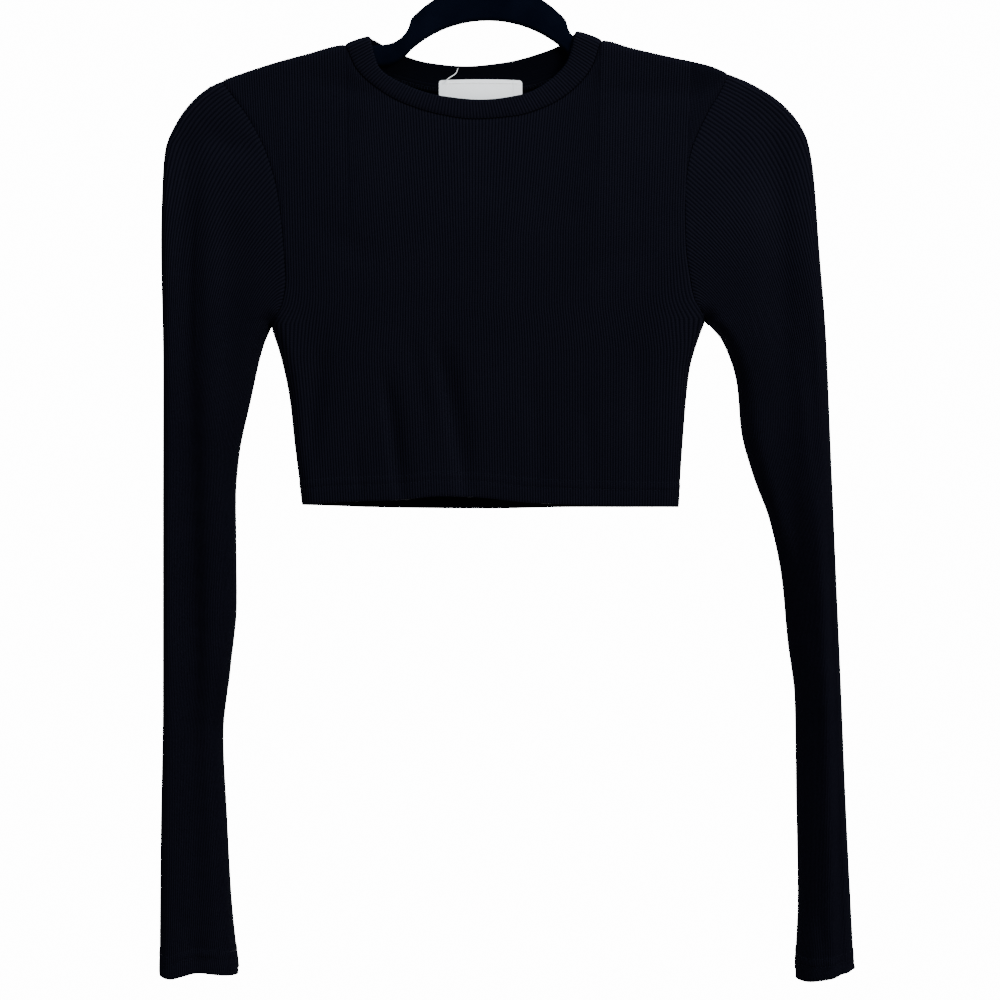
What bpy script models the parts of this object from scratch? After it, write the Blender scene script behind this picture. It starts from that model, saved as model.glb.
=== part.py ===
"""Long-sleeved rib-knit crop top, hanging on a slim flocked hanger.

Lengths are millimetres until a mesh is made. x runs to the viewer's right from the hanger's middle,
y to the back, and drop runs down from the rod seat inside the hook, so z = -drop. The front faces -y.

The cloth is a wall around two height fields, one for the front layer and one for the back. Both are
closed at the outer line (shoulder ridge and outer sleeve edge) and at the slot between sleeve and body.
"""

import math

import bmesh
import bpy
import numpy as np

# ---- driving sizes -------------------------------------------------------------------------------
MM = 0.001  # metres in a millimetre
WALL = 1.2  # cloth wall, measured in the groove between two ribs
RIB_RELIEF = 0.45  # how far a rib stands out of its groove
PIT_PLAIN = 18.0  # the ribs fade out within this distance of the pit, where four pieces meet
SEAM_GAP = 0.33  # between two pieces at a seam, measured along the cloth
WALES_PER_RIB = 3  # wales of the knit that one raised rib stands for
BODY_WALES, WING_WALES, SLEEVE_WALES = 150, 24, 108

HANGER_THICK = 5.0
RIDGE_RADIUS = 4.6  # outside of the fold over the hanger
FRONT_FULLNESS, BACK_FULLNESS = 9.0, 7.0  # how far each layer swells below the ridge
FULL_AFTER = 150.0  # drop below the ridge at which a layer has swollen fully
EDGE_ROUND = 11.0  # width over which a layer rounds into a side edge
FOLD_LIMIT = 0.8  # share of a layer's swell that a fold can take away
OVER_HANGER = 4.3  # folds never press a layer nearer to the hanger's plane than this

BAND_THICK = 2.2  # the neckband is folded double
LABEL_WIDE, LABEL_TALL, LABEL_THICK = 57.6, 20.0, 0.9
LABEL_X, LABEL_DROP = -5.2, 120.2  # middle of the label's top edge
LABEL_BOW = 0.7  # the top edge's ends lie this much lower than its middle
LABEL_LEAN = 0.1  # the neckband leans in by this much at the label's top edge

HOOK_WIRE, HOOK_RADIUS = 3.8, 20.0  # wire thickness and the hook's inner radius


def table(names, *rows):
    """A dictionary of named columns."""
    return dict(zip(names.split(), np.array(rows, float).T))


# Where the two layers meet: along the shoulder ridge, round the sleeve head and down to the cuff.
RIDGE = {
    "left": table("x drop", (-98, 97), (-127, 104), (-152, 111), (-173, 118), (-184, 122)),
    "right": table("x drop", (78, 94), (100, 99.5), (128, 106), (153, 111.5), (166, 117)),
}
OUTER = {
    "left": table(
        "x drop", (-184, 122), (-195, 128), (-209, 142), (-217, 155.5), (-222, 168), (-224, 190),
        (-225, 232), (-223.5, 321), (-223.5, 549), (-225, 640), (-226, 738),
    ),
    "right": table(
        "x drop", (166, 117), (183, 124.5), (199.5, 135), (212, 148), (220, 163), (224, 185),
        (228, 238), (233, 300), (236, 363), (240, 452), (244, 539), (248, 632), (253, 731),
    ),
}
# Armhole seam on the front, from the shoulder tip down to the pit; the back seam lies further out.
ARMHOLE = {
    "left": table(
        "drop x", (122, -184), (135, -174), (149, -164), (174, -151.5), (203, -143.5), (237, -139.5),
        (260, -138), (277, -140.5), (291, -149.5),
    ),
    "right": table(
        "drop x", (117, 166), (129, 160.5), (146, 150.5), (176, 138.5), (205, 135), (237, 135.5),
        (257, 138), (273, 141), (287, 150),
    ),
}
BACK_ARMHOLE_OUT = 5.0  # the back panel is this much wider at mid armhole
# Below the pit, the sleeve's inner edge and the body's side seam.
PIT = {"left": (-149.5, 291.0), "right": (150.0, 287.0)}
SLEEVE_INNER = {
    "left": table(
        "drop x", (291, -149.5), (304, -155), (342, -164), (383, -172.5), (411, -174.5), (480, -174),
        (528, -178.5), (574, -183.5), (632, -181), (687, -178), (736, -173),
    ),
    "right": table(
        "drop x", (287, 150), (301, 162), (332, 172.5), (363, 175.5), (394, 184), (425, 195.5),
        (466, 204), (508, 208), (549, 213), (618, 214), (684, 215), (732, 213),
    ),
}
SIDE_SEAM = {
    "left": table("drop x", (291, -149.5), (311, -143), (342, -136.5), (373, -133), (415, -127.5)),
    "right": table("drop x", (287, 150), (301, 144.5), (321, 139), (342, 136.5), (373, 134), (416, 131)),
}
# Neck seam and the folded top edge of the neckband, front and back, from left ridge to right ridge.
NECK_FRONT = table(
    "x drop", (-98, 97), (-90.5, 114), (-77, 127), (-57.5, 138.5), (-34, 146), (-10, 149.5),
    (17.5, 147.5), (41.5, 140), (61, 126.5), (72, 112), (78, 94),
)
BAND_TOP_FRONT = table(
    "x drop", (-81.5, 91), (-75, 113), (-55.5, 126), (-34, 133), (-5, 136), (23, 132.5),
    (43, 122), (55, 108), (60.5, 87.5),
)
NECK_BACK = table(
    "x drop", (-98, 97), (-88, 108), (-66, 117.5), (-36, 124.5), (-5, 126.5), (26, 123.5),
    (52, 114.5), (70, 103), (78, 94),
)
BAND_TOP_BACK = table(
    "x drop", (-81.5, 91), (-60, 102.5), (-42, 108), (-15.5, 110.5), (11, 108), (38, 101),
    (50, 96), (60.5, 87.5),
)
# Hem line of the front panel and of the back panel.
HEM_FRONT = table(
    "x drop", (-128, 414.5), (-101, 412.5), (-60, 411), (-33, 408.5), (-12, 409), (29, 413),
    (77, 415), (131, 416),
)
HEM_BACK = table("x drop", (-128, 414.5), (-60, 416.5), (0, 417), (60, 416), (131, 416))
# Cuff line: drop at each share of the way round, from the outer edge over the front to the inner edge.
CUFF = {
    "left": table("share drop", (0, 736), (0.15, 738.5), (0.4, 735), (0.75, 738.5), (1, 735)),
    "right": table("share drop", (0, 734), (0.3, 738), (0.6, 742), (0.8, 741), (1, 737)),
}
# Flattened sleeve below the head: half the thickness, and how far the middle of the tube lies behind
# the hanger's plane at its inner edge, at its front crest, at the notch outside the crest and at its
# outer edge. crest and notch are shares of the way from the inner to the outer edge.
SLEEVE = {
    "left": table(
        "drop half inner crest notch outer crest_at notch_at",
        (232, 13, 0, 0, 0, 0, 0.4, 0.8),
        (320, 15, 0, -1, 0, 0, 0.4, 0.8),
        (420, 15, 2, 0, 0, -1, 0.4, 0.8),
        (560, 15, 4, 0, 0, -1, 0.4, 0.8),
        (740, 15, 5, 0, 0, 0, 0.4, 0.8),
    ),
    "right": table(
        "drop half inner crest notch outer crest_at notch_at",
        (232, 13, 0, 0, 0, 0, 0.6, 0.85),
        (290, 14, 0, -1, 0, 1, 0.6, 0.85),
        (363, 12.5, 4, -3, 1, 3, 0.66, 0.86),
        (450, 11.5, 7, -4, 1, 4, 0.62, 0.86),
        (540, 11, 8, -4, 1, 5, 0.58, 0.84),
        (640, 11, 7, -4, 1.5, 6, 0.54, 0.82),
        (742, 11, 5, -4, 2, 6, 0.5, 0.8),
    ),
}
# Folds that the hand would feel: a path of three points in the front view, the reach to its left and
# to its right, and the depth. A minus depth is a ridge.
FOLDS = {
    "front": table(
        "x0 drop0 x1 drop1 x2 drop2 reach_left reach_right depth",
        (-127, 121, -100, 127, -68, 135, 7, 7, 1.8),  # left shoulder to the neckband
        (78, 128, 115, 131, 160, 128, 7, 7, 1.4),  # across the right shoulder
        (-116, 300, -120, 345, -125, 396, 8, 8, 1.5),
        (-70, 320, -64, 365, -58, 418, 8, 8, 1.8),
        (-34, 305, -24, 352, -14, 418, 8, 8, 1.9),
        (102, 305, 102, 345, 101, 395, 9, 9, 1.3),
        (-207, 168, -205, 440, -196, 765, 10, 10, 10.0),  # long valley of the left sleeve
        (-178, 205, -176, 325, -174, 400, 9, 16, 5.0),  # underarm, behind the tube's front
        (196, 150, 203, 300, 210, 430, 12, 12, 4.5),  # dark valley of the right sleeve
        (183, 338, 195, 400, 207, 450, 7, 7, -1.8),
    ),
    "back": table(
        "x0 drop0 x1 drop1 x2 drop2 reach_left reach_right depth",
        (-120, 128, -60, 150, 0, 158, 8, 8, 1.5),
        (95, 125, 50, 146, 10, 152, 8, 8, 1.4),
        (-90, 310, -84, 360, -80, 418, 8, 8, 1.7),
        (12, 325, 8, 365, 10, 420, 8, 8, 1.5),
        (84, 300, 92, 350, 94, 412, 8, 8, 1.6),
        (-199, 290, -200, 500, -203, 760, 11, 11, 5.5),
        (205, 250, 212, 360, 219, 480, 12, 12, 3.0),
        (220, 530, 221, 640, 222, 760, 12, 12, 2.0),
    ),
}
# Hanger: where the arch turns into the arm, top against underside, then the top line out to the nose.
HANGER_FOOT = table(
    "x drop under_x under_drop",
    (55.4, 86, 56.4, 104.6), (59.4, 91.6, 60.6, 108), (65.6, 95.8, 65.8, 110.8), (74, 97.6, 72.5, 112.4),
)
HANGER_ARM = table(
    "x drop", (84, 98.6), (102, 102), (128, 107.5), (150, 113), (165, 118), (180, 125), (193, 133.8),
    (204.5, 145), (212, 157),
)
ARCH = {"outer": (125.5, 70.4), "inner": (159.4, 79.0)}  # drop of the centre, and radius
ARCH_FOOT = {"outer": 49.0, "inner": 42.0}  # degrees from the top at which an arch ends
ARM_BAND = 15.0  # height of the arm's band
HANGER_TILT = 0.4  # degrees that the hanger hangs off level, its left arm up
# Wire of the hook: under the ball of the circle and down into the hanger.
HOOK_FOOT = table("x drop", (19.4, 30), (14.2, 37), (7.4, 42.2), (2.2, 46), (0, 50), (0, 54.7))


# ---- helpers on curves and fields ----------------------------------------------------------------
def smooth(xs, ys, x):
    """Piecewise cubic through the points (xs, ys) that never overshoots them."""
    xs, ys, x = np.asarray(xs, float), np.asarray(ys, float), np.asarray(x, float)
    if xs[0] > xs[-1]:
        xs, ys = xs[::-1], ys[::-1]
    step = np.diff(xs)
    rise = np.diff(ys) / step
    slope = np.zeros(len(xs))
    same = rise[:-1] * rise[1:] > 0
    w1, w2 = 2 * step[1:] + step[:-1], step[1:] + 2 * step[:-1]
    safe = np.where(same, rise[:-1] * rise[1:], 1.0)
    slope[1:-1] = np.where(same, (w1 + w2) * safe / (w1 * rise[1:] + w2 * rise[:-1] + 1e-12), 0)
    slope[0], slope[-1] = rise[0], rise[-1]
    i = np.clip(np.searchsorted(xs, x) - 1, 0, len(step) - 1)
    t = np.clip((x - xs[i]) / step[i], 0, 1)
    h = step[i]
    return (
        ys[i] * (1 + 2 * t) * (1 - t) ** 2 + h * slope[i] * t * (1 - t) ** 2
        + ys[i + 1] * t * t * (3 - 2 * t) + h * slope[i + 1] * t * t * (t - 1)
    )


def ease(t):
    t = np.clip(t, 0, 1)
    return t * t * (3 - 2 * t)


def unit(vectors):
    return vectors / np.linalg.norm(vectors, axis=-1, keepdims=True)


def rounded(distance, width):
    """0 at an edge and 1 from width on, along a quarter circle."""
    t = 1 - np.clip(distance / width, 0, 1)
    return np.sqrt(np.clip(1 - t * t, 0, 1))


def curve_points(curve, count):
    """count points spaced evenly along the smooth curve through a table's x and drop."""
    along = np.concatenate([[0], np.cumsum(np.hypot(np.diff(curve["x"]), np.diff(curve["drop"])))])
    fine = np.linspace(0, along[-1], 600)
    x, drop = smooth(along, curve["x"], fine), smooth(along, curve["drop"], fine)
    length = np.concatenate([[0], np.cumsum(np.hypot(np.diff(x), np.diff(drop)))])
    even = np.linspace(0, length[-1], count)
    return np.interp(even, length, x), np.interp(even, length, drop)


def outer_line(side):
    """Shoulder ridge and outer sleeve edge as one dense line."""
    ridge, outer = curve_points(RIDGE[side], 60), curve_points(OUTER[side], 240)
    return np.concatenate([ridge[0], outer[0][1:]]), np.concatenate([ridge[1], outer[1][1:]])


OUTER_LINE = {side: outer_line(side) for side in ("left", "right")}


def away_from(line, x, drop):
    """Distance in the front view from each point to a dense line."""
    ax, ad = line[0][:-1], line[1][:-1]
    bx, bd = np.diff(line[0]), np.diff(line[1])
    px, pd = np.asarray(x, float)[..., None] - ax, np.asarray(drop, float)[..., None] - ad
    t = np.clip((px * bx + pd * bd) / (bx * bx + bd * bd), 0, 1)
    return np.hypot(px - t * bx, pd - t * bd).min(-1)


def fold_depth(layer, x, drop):
    """How far the folds press a layer towards the other one."""
    folds, total = FOLDS[layer], np.zeros(np.broadcast(x, drop).shape)
    for i in range(len(folds["depth"])):
        path = [np.linspace(0, 1, 25)] * 2
        for axis, name in enumerate(("x", "drop")):
            start, middle, end = (folds[f"{name}{k}"][i] for k in range(3))
            t = path[axis]
            path[axis] = start * (1 - t) * (1 - 2 * t) + middle * 4 * t * (1 - t) + end * t * (2 * t - 1)
        px, pd = np.asarray(x, float)[..., None] - path[0], np.asarray(drop, float)[..., None] - path[1]
        far = np.hypot(px, pd)
        nearest = far.argmin(-1)
        beside = np.take_along_axis(px, nearest[..., None], -1)[..., 0]
        reach = np.where(beside < 0, folds["reach_left"][i], folds["reach_right"][i])
        fade = np.sin(np.pi * np.clip(nearest / 24, 0.02, 0.98)) ** 0.5
        total = total + folds["depth"][i] * fade * np.exp(-((far.min(-1) / reach) ** 2))
    return total


def ridge_drop(x):
    """Drop of the shoulder ridge, carried on straight over the neck and past the tips."""
    left, right = RIDGE["left"], RIDGE["right"]
    xs = np.concatenate([left["x"][::-1], right["x"]])
    return smooth(xs, np.concatenate([left["drop"][::-1], right["drop"]]), x)


def tube_middle(side, share, drop):
    """How far back the middle of a flattened sleeve lies, at a share from its inner to outer edge."""
    rows = SLEEVE[side]
    at = {name: smooth(rows["drop"], rows[name], drop) for name in rows if name != "drop"}
    knots = [0 * at["inner"], at["crest_at"], at["notch_at"], 1 + 0 * at["inner"]]
    depths = [at["inner"], at["crest"], at["notch"], at["outer"]]
    middle = depths[0]
    for k in range(3):
        t = ease((share - knots[k]) / (knots[k + 1] - knots[k]))
        middle = middle + (depths[k + 1] - depths[k]) * t
    return middle


def layer_depth(layer, part, x, drop):
    """y of a layer's outside. part is body, left or right, for the body or one of the sleeves."""
    x, drop = np.broadcast_arrays(np.asarray(x, float), np.asarray(drop, float))
    sign, fullness = (-1, FRONT_FULLNESS) if layer == "front" else (1, BACK_FULLNESS)
    swell = RIDGE_RADIUS + fullness * ease((drop - ridge_drop(x)) / FULL_AFTER)
    half, middle = swell, np.zeros_like(swell)
    for side, line in OUTER_LINE.items():
        if part not in ("body", side):
            continue
        width = RIDGE_RADIUS + (EDGE_ROUND - RIDGE_RADIUS) * ease((drop - 150) / 130)
        gap = away_from(line, x, drop)
        pit_x, pit_drop = PIT[side]
        below = drop > pit_drop
        inward = np.hypot(x - pit_x, drop - pit_drop)
        if part == "body":
            seam = smooth(SIDE_SEAM[side]["drop"], SIDE_SEAM[side]["x"], drop)
            inward = np.where(below, np.abs(seam - x), inward)
            gap = np.where(below, 1e3, gap)
        else:
            inner = smooth(SLEEVE_INNER[side]["drop"], SLEEVE_INNER[side]["x"], drop)
            inward = np.where(below, np.abs(x - inner), inward)
            outer = smooth(OUTER[side]["drop"], OUTER[side]["x"], drop)
            edge = np.where(below, inner, smooth(ARMHOLE[side]["drop"], ARMHOLE[side]["x"], drop))
            share = np.clip((x - edge) / (outer - edge), 0, 1)
            middle = tube_middle(side, share, drop)
            tube = smooth(SLEEVE[side]["drop"], SLEEVE[side]["half"], drop)
            half = half + (tube - half) * ease((drop - 240) / 80) * ease(inward / 40 + below)
        half = half * rounded(gap, width) * rounded(inward, EDGE_ROUND)
    closed = np.clip(half / 6, 0, 1)
    held = OVER_HANGER * (1 - ease((drop - ridge_drop(x) - 20) / 12))
    most = np.maximum(FOLD_LIMIT * half, 0.1)
    pressed = half - most * np.tanh(fold_depth(layer, x, drop) * closed / most)
    return middle + sign * np.maximum(pressed, np.minimum(half, held))


def armhole_x(side, layer, drop):
    """x of the armhole seam; the back seam bows outwards between the tip and the pit."""
    rows = ARMHOLE[side]
    t = np.clip((drop - rows["drop"][0]) / (rows["drop"][-1] - rows["drop"][0]), 0, 1)
    out = BACK_ARMHOLE_OUT * np.sin(np.pi * t) if layer == "back" else 0.0
    return smooth(rows["drop"], rows["x"], drop) + out * (-1 if side == "left" else 1)


# ---- grids of the body panels --------------------------------------------------------------------
RIDGE_ROWS = (0.0, 1.4, 4.8)  # drops of the first rows, which turn over the ridge
UPPER_ROWS, PIT_ROWS, LOWER_ROWS = 4, 4, 4  # rows to the narrowest place, to the pit and to the hem
PIT_SHARES = (0.5, 0.85, 0.965, 1.0)  # where the rows between narrowest place and pit lie
NARROWEST = {"left": 260.0, "right": 212.0}  # drop at which the armholes come closest
FAN = 1.035  # the columns stand this much wider apart at the top
TIP_MARGIN = 1.0  # the outermost column stays this far inside the shoulder tip
INNER_STRIDE = 4  # outer columns for each column of the plain inside, away from the folded edges
BESIDE_EDGE = (1, 2)  # columns that the inside also has next to a folded edge
INSIDE_BACK = 0.8  # the inside stays this much further back from the upper armhole seam
PANEL_CORNERS = {"left": NECK_FRONT["x"][0], "right": NECK_FRONT["x"][-1]}  # where neck and ridge meet


def top_drop(layer, x):
    """Drop of a panel's top edge: the ridge, or the neck seam between the two ridges."""
    neck = NECK_FRONT if layer == "front" else NECK_BACK
    inside = (x > neck["x"][0]) & (x < neck["x"][-1])
    return np.where(inside, smooth(neck["x"], neck["drop"], x), ridge_drop(x))


def neck_columns(layer, count):
    """x of count columns from neck corner to neck corner, closer together where the edge is steep."""
    x = np.linspace(PANEL_CORNERS["left"], PANEL_CORNERS["right"], 900)
    drop = top_drop(layer, x)
    y = layer_depth(layer, "body", x, drop)
    steps = np.abs(np.diff(x)) + 0.3 * np.abs(np.diff(drop)) + 0.6 * np.abs(np.diff(y))
    length = np.concatenate([[0], np.cumsum(steps)])
    return np.interp(np.linspace(0, length[-1], count), length, x)


def even_row(layer, left, right, drop_at, count):
    """count points, evenly spaced over the cloth, from edge to edge of the body."""
    share = (1 - np.cos(np.linspace(0, np.pi, 500))) / 2
    x, drop = left + (right - left) * share, drop_at(share)
    y = layer_depth(layer, "body", x, drop)
    far = np.hypot(np.hypot(np.diff(x), np.diff(y)), np.diff(drop))
    length = np.concatenate([[0], np.cumsum(far)])
    even = np.interp(np.linspace(0, length[-1], count), length, share)
    return left + (right - left) * even, drop_at(even)


def seam_x(side, layer, drop):
    """x of the body's side edge: the armhole down to the pit, then the side seam."""
    if drop <= PIT[side][1]:
        return float(armhole_x(side, layer, drop))
    return float(smooth(SIDE_SEAM[side]["drop"], SIDE_SEAM[side]["x"], drop))


def body_grid(layer, main, wing):
    """x and drop of a panel's grid: rows, and wing + main + wing columns. Wings end at the armhole."""
    levels = [(NARROWEST["left"], NARROWEST["right"], 0.0)]
    for t in PIT_SHARES:
        levels.append(
            tuple(NARROWEST[s] + (PIT[s][1] - NARROWEST[s]) * t for s in ("left", "right")) + (0.0,)
        )
    hem = HEM_FRONT if layer == "front" else HEM_BACK
    for k in range(1, LOWER_ROWS + 1):
        t = k / LOWER_ROWS
        ends = (hem["drop"][0], hem["drop"][-1])
        levels.append(tuple(PIT[s][1] + (e - PIT[s][1]) * t for s, e in zip(PIT, ends)) + (t,))
    lower = []
    for left_drop, right_drop, hem_share in levels:
        def drop_at(share, a=left_drop, b=right_drop, t=hem_share):
            line = a + (b - a) * share
            hem_x = hem["x"][0] + (hem["x"][-1] - hem["x"][0]) * share
            sag = smooth(hem["x"], hem["drop"], hem_x) - (
                hem["drop"][0] + (hem["drop"][-1] - hem["drop"][0]) * share
            )
            return line + sag * t**2

        ends = seam_x("left", layer, left_drop), seam_x("right", layer, right_drop)
        lower.append(even_row(layer, *ends, drop_at, main + 1))
    foot_x, foot_drop = lower[0]
    top_x = foot_x * FAN
    for side, at_start in (("left", True), ("right", False)):
        tip = RIDGE[side]["x"][-1] - math.copysign(TIP_MARGIN, RIDGE[side]["x"][-1])
        drops = np.linspace(RIDGE[side]["drop"][-1], NARROWEST[side], 300)
        seam = armhole_x(side, layer, drops)
        edge = 0 if at_start else -1
        share = np.arange(1, wing + 1) / wing
        wing_top = top_x[edge] + (tip - top_x[edge]) * share
        wing_foot = foot_x[edge] + (tip - foot_x[edge]) * share
        order = np.argsort(seam)
        wing_drop = np.interp(wing_foot, seam[order], drops[order])
        if at_start:
            wing_top, wing_foot, wing_drop = wing_top[::-1], wing_foot[::-1], wing_drop[::-1]
            parts = (wing_top, top_x), (wing_foot, foot_x), (wing_drop, foot_drop)
        else:
            parts = (top_x, wing_top), (foot_x, wing_foot), (foot_drop, wing_drop)
        top_x, foot_x, foot_drop = (np.concatenate(pair) for pair in parts)
    corners = [PANEL_CORNERS["left"], PANEL_CORNERS["right"]]
    found = [int(np.abs(top_x - corner).argmin()) for corner in corners]
    nearest = [INNER_STRIDE * round(column / INNER_STRIDE) for column in found]
    shift = [0.0, corners[0] - top_x[nearest[0]], corners[1] - top_x[nearest[1]], 0.0]
    top_x = top_x + np.interp(np.arange(len(top_x)), [0, *nearest, len(top_x) - 1], shift)
    top_x[nearest[0] : nearest[1] + 1] = neck_columns(layer, nearest[1] + 1 - nearest[0])
    start = top_drop(layer, top_x)
    length = np.maximum(foot_drop - start, 0.3)
    upper = []
    for k in range(UPPER_ROWS):
        if k < len(RIDGE_ROWS):
            below = np.minimum(RIDGE_ROWS[k], length * k / UPPER_ROWS)
        else:
            t = (k - len(RIDGE_ROWS) + 1) / (UPPER_ROWS - len(RIDGE_ROWS) + 1)
            first = np.minimum(RIDGE_ROWS[-1], length * (len(RIDGE_ROWS) - 1) / UPPER_ROWS)
            below = first + (length - first) * t
        upper.append((top_x + (foot_x - top_x) * below / length, start + below))
    blank = np.full(wing, np.nan)
    rows = upper + [(foot_x, foot_drop)]
    rows += [tuple(np.concatenate([blank, v, blank]) for v in row) for row in lower[1:]]
    return np.array([r[0] for r in rows]), np.array([r[1] for r in rows])


def placed(x, y, drop):
    return np.stack([x, y, -np.asarray(drop)], -1)


def field_normal(layer, part, x, drop, step=0.05):
    """Outward direction of a layer, from the slope of its depth."""
    sign = -1 if layer == "front" else 1
    slope_x = layer_depth(layer, part, x + step, drop) - layer_depth(layer, part, x - step, drop)
    slope_z = layer_depth(layer, part, x, drop - step) - layer_depth(layer, part, x, drop + step)
    normal = np.stack([-sign * slope_x, np.full_like(slope_x, sign * 2 * step), -sign * slope_z], -1)
    return unit(normal)


def edge_normal(points, inside):
    """Outward direction along an edge where the two layers meet: across the edge, with no y."""
    along = np.gradient(points, axis=0)
    normal = np.stack([along[:, 2], np.zeros(len(along)), -along[:, 0]], -1)
    return unit(normal) * np.sign(((points - inside) * normal).sum())


def drawn_in(edge, out, inside, closed=False, gap=SEAM_GAP / 2):
    """An edge moved back from its seam: square to the edge and along the cloth."""
    if closed:
        along = np.roll(edge, -1, 0) - np.roll(edge, 1, 0)
    else:
        along = np.gradient(edge, axis=0)
    back = unit(np.cross(out, along))
    return edge + back * gap * np.sign((back * (inside - edge)).sum())


def panel(layer, main, wing):
    """Outside, outward directions and inside of a panel, its seam edges, and the neck's columns."""
    x, drop = body_grid(layer, main, wing)
    real = ~np.isnan(x)
    y, normals = np.full_like(x, np.nan), np.full(x.shape + (3,), np.nan)
    y[real] = layer_depth(layer, "body", x[real], drop[real])
    normals[real] = field_normal(layer, "body", x[real], drop[real])
    points = placed(x, y, drop)
    first, last, pit_row = wing, wing + main, UPPER_ROWS + PIT_ROWS
    shoulders = x[0] < PANEL_CORNERS["left"] + 0.01, x[0] > PANEL_CORNERS["right"] - 0.01
    for shoulder in shoulders:
        points[0, shoulder, 1] = 0
        normals[0, shoulder] = edge_normal(points[0, shoulder], points[1, shoulder])
    for column, inner in ((first, first + 1), (last, last - 1)):
        rows = slice(pit_row, None)
        points[rows, column, 1] = 0
        normals[rows, column] = edge_normal(points[rows, column], points[rows, inner])
        normals[pit_row, column] = 0, 0, -1
    both = np.concatenate([points, normals], -1)
    armhole = {
        "left": np.concatenate([
            both[:1, 0], both[UPPER_ROWS, : first + 1],
            both[UPPER_ROWS + 1 : pit_row + 1, first],
        ]),
        "right": np.concatenate([
            both[:1, -1], both[UPPER_ROWS, last:][::-1],
            both[UPPER_ROWS + 1 : pit_row + 1, last],
        ]),
    }
    corners = int(np.flatnonzero(shoulders[0])[-1]), int(np.flatnonzero(shoulders[1])[0])
    neck_edge = both[0, corners[0] : corners[1] + 1]
    middle = np.nanmean(points, (0, 1))
    points[0] = drawn_in(points[0], normals[0], middle)
    inside = np.zeros_like(points)
    for foot, column in ((np.arange(first + 1), first), (np.arange(len(x[0]) - 1, last - 1, -1), last)):
        rows = np.concatenate([[0], np.full(len(foot), UPPER_ROWS), np.arange(UPPER_ROWS + 1, len(x))])
        columns = np.concatenate([[foot[0]], foot, np.full(len(x) - UPPER_ROWS - 1, column)])
        edge = points[rows, columns], normals[rows, columns]
        points[rows, columns] = drawn_in(*edge, middle)
        deeper = drawn_in(*edge, middle, gap=INSIDE_BACK) - edge[0]
        inside[rows[5 : -LOWER_ROWS], columns[5 : -LOWER_ROWS]] = deeper[5 : -LOWER_ROWS]
        tip = points[: UPPER_ROWS + 1, foot[0]]
        tip[:] = tip[0] + (tip[-1] - tip[0]) * np.linspace(0, 1, UPPER_ROWS + 1)[:, None]
        points[pit_row, column, 1] = math.copysign(SEAM_GAP / 2, middle[1])
    inside += points - normals * WALL
    return points, normals, inside, armhole, neck_edge, corners


# ---- grids of the sleeves ------------------------------------------------------------------------
SLEEVE_LEVEL = 345.0  # from here down the rows go straight round the sleeve
TUBE_ROWS = 8  # rows from there to the cuff
HEAD_ROWS = table(  # rows from the armhole to that level: shares at the outer edge and at the underarm
    "outer under", (0, 0), (0.02, 0.1), (0.05, 0.2), (0.095, 0.3), (0.155, 0.41), (0.25, 0.53),
    (0.4, 0.67), (0.65, 0.83), (1, 1),
)
HEAD_BELL = 0.8  # how much faster the ribs meet the seam on the flanks than at tip and pit


def unrolled_sleeve(side, layer):
    """The layer's x and y on a grid of levels and shares from outer to inner edge, and its lengths."""
    tip, pit, cuff = OUTER[side]["drop"][0] + 0.2, PIT[side][1], 760.0
    levels = np.concatenate([
        tip + np.linspace(0, 1, 24) ** 2 * 30, np.linspace(tip + 31, pit - 15, 60),
        np.linspace(pit - 14.5, pit + 15, 60), np.linspace(pit + 17, cuff, 200),
    ])
    share = (1 - np.cos(np.linspace(0, np.pi, 260))) / 2
    outer = smooth(OUTER[side]["drop"], OUTER[side]["x"], levels)
    inner = np.where(
        levels > PIT[side][1],
        smooth(SLEEVE_INNER[side]["drop"], SLEEVE_INNER[side]["x"], levels),
        armhole_x(side, layer, levels),
    )
    x = outer[:, None] + (inner - outer)[:, None] * share
    y = layer_depth(layer, side, x, np.repeat(levels[:, None], len(share), 1))
    length = np.concatenate(
        [np.zeros((len(levels), 1)), np.cumsum(np.hypot(np.diff(x), np.diff(y)), 1)], 1
    )
    even = np.linspace(0, 1, 200)
    grid = np.array([
        [np.interp(even * row[-1], row, values) for values in (xs, ys)]
        for row, xs, ys in zip(length, x, y)
    ])
    return levels, grid[:, 0], grid[:, 1], length[:, -1]


def on_sleeve(unrolled, share, drop):
    """Points at shares from the outer edge (0) to the inner edge or seam (1)."""
    levels, xs, ys, lengths = unrolled
    row = np.clip(np.interp(drop, levels, np.arange(len(levels))), 0, len(levels) - 1.001)
    column = np.clip(share, 0, 1) * (xs.shape[1] - 1.001)
    r, c = row.astype(int), column.astype(int)
    fr, fc = row - r, column - c
    both = [
        (v[r, c] * (1 - fc) + v[r, c + 1] * fc) * (1 - fr)
        + (v[r + 1, c] * (1 - fc) + v[r + 1, c + 1] * fc) * fr
        for v in (xs, ys)
    ]
    return placed(both[0], both[1], drop)


def arc_shares(edge):
    """Share of an edge's length at each of its points."""
    length = np.concatenate([[0], np.cumsum(np.linalg.norm(np.diff(edge[:, :3], axis=0), axis=1))])
    return length / length[-1]


def snapped(share, corners):
    """Shares, with the nearest one moved onto each corner, so that two pieces share the corners."""
    moved, taken = share.copy(), {0, len(share) - 1}
    for corner in corners[1:-1]:
        nearest = int(np.abs(share - corner).argmin())
        if nearest not in taken:
            moved[nearest] = corner
            taken.add(nearest)
    return moved


def along_polyline(edge, share):
    """Points at shares of an edge's length, and the outward directions there if the edge has them."""
    found = np.stack([np.interp(share, arc_shares(edge), column) for column in edge.T], -1)
    return (found[:, :3], unit(found[:, 3:])) if edge.shape[1] > 3 else found


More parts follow.
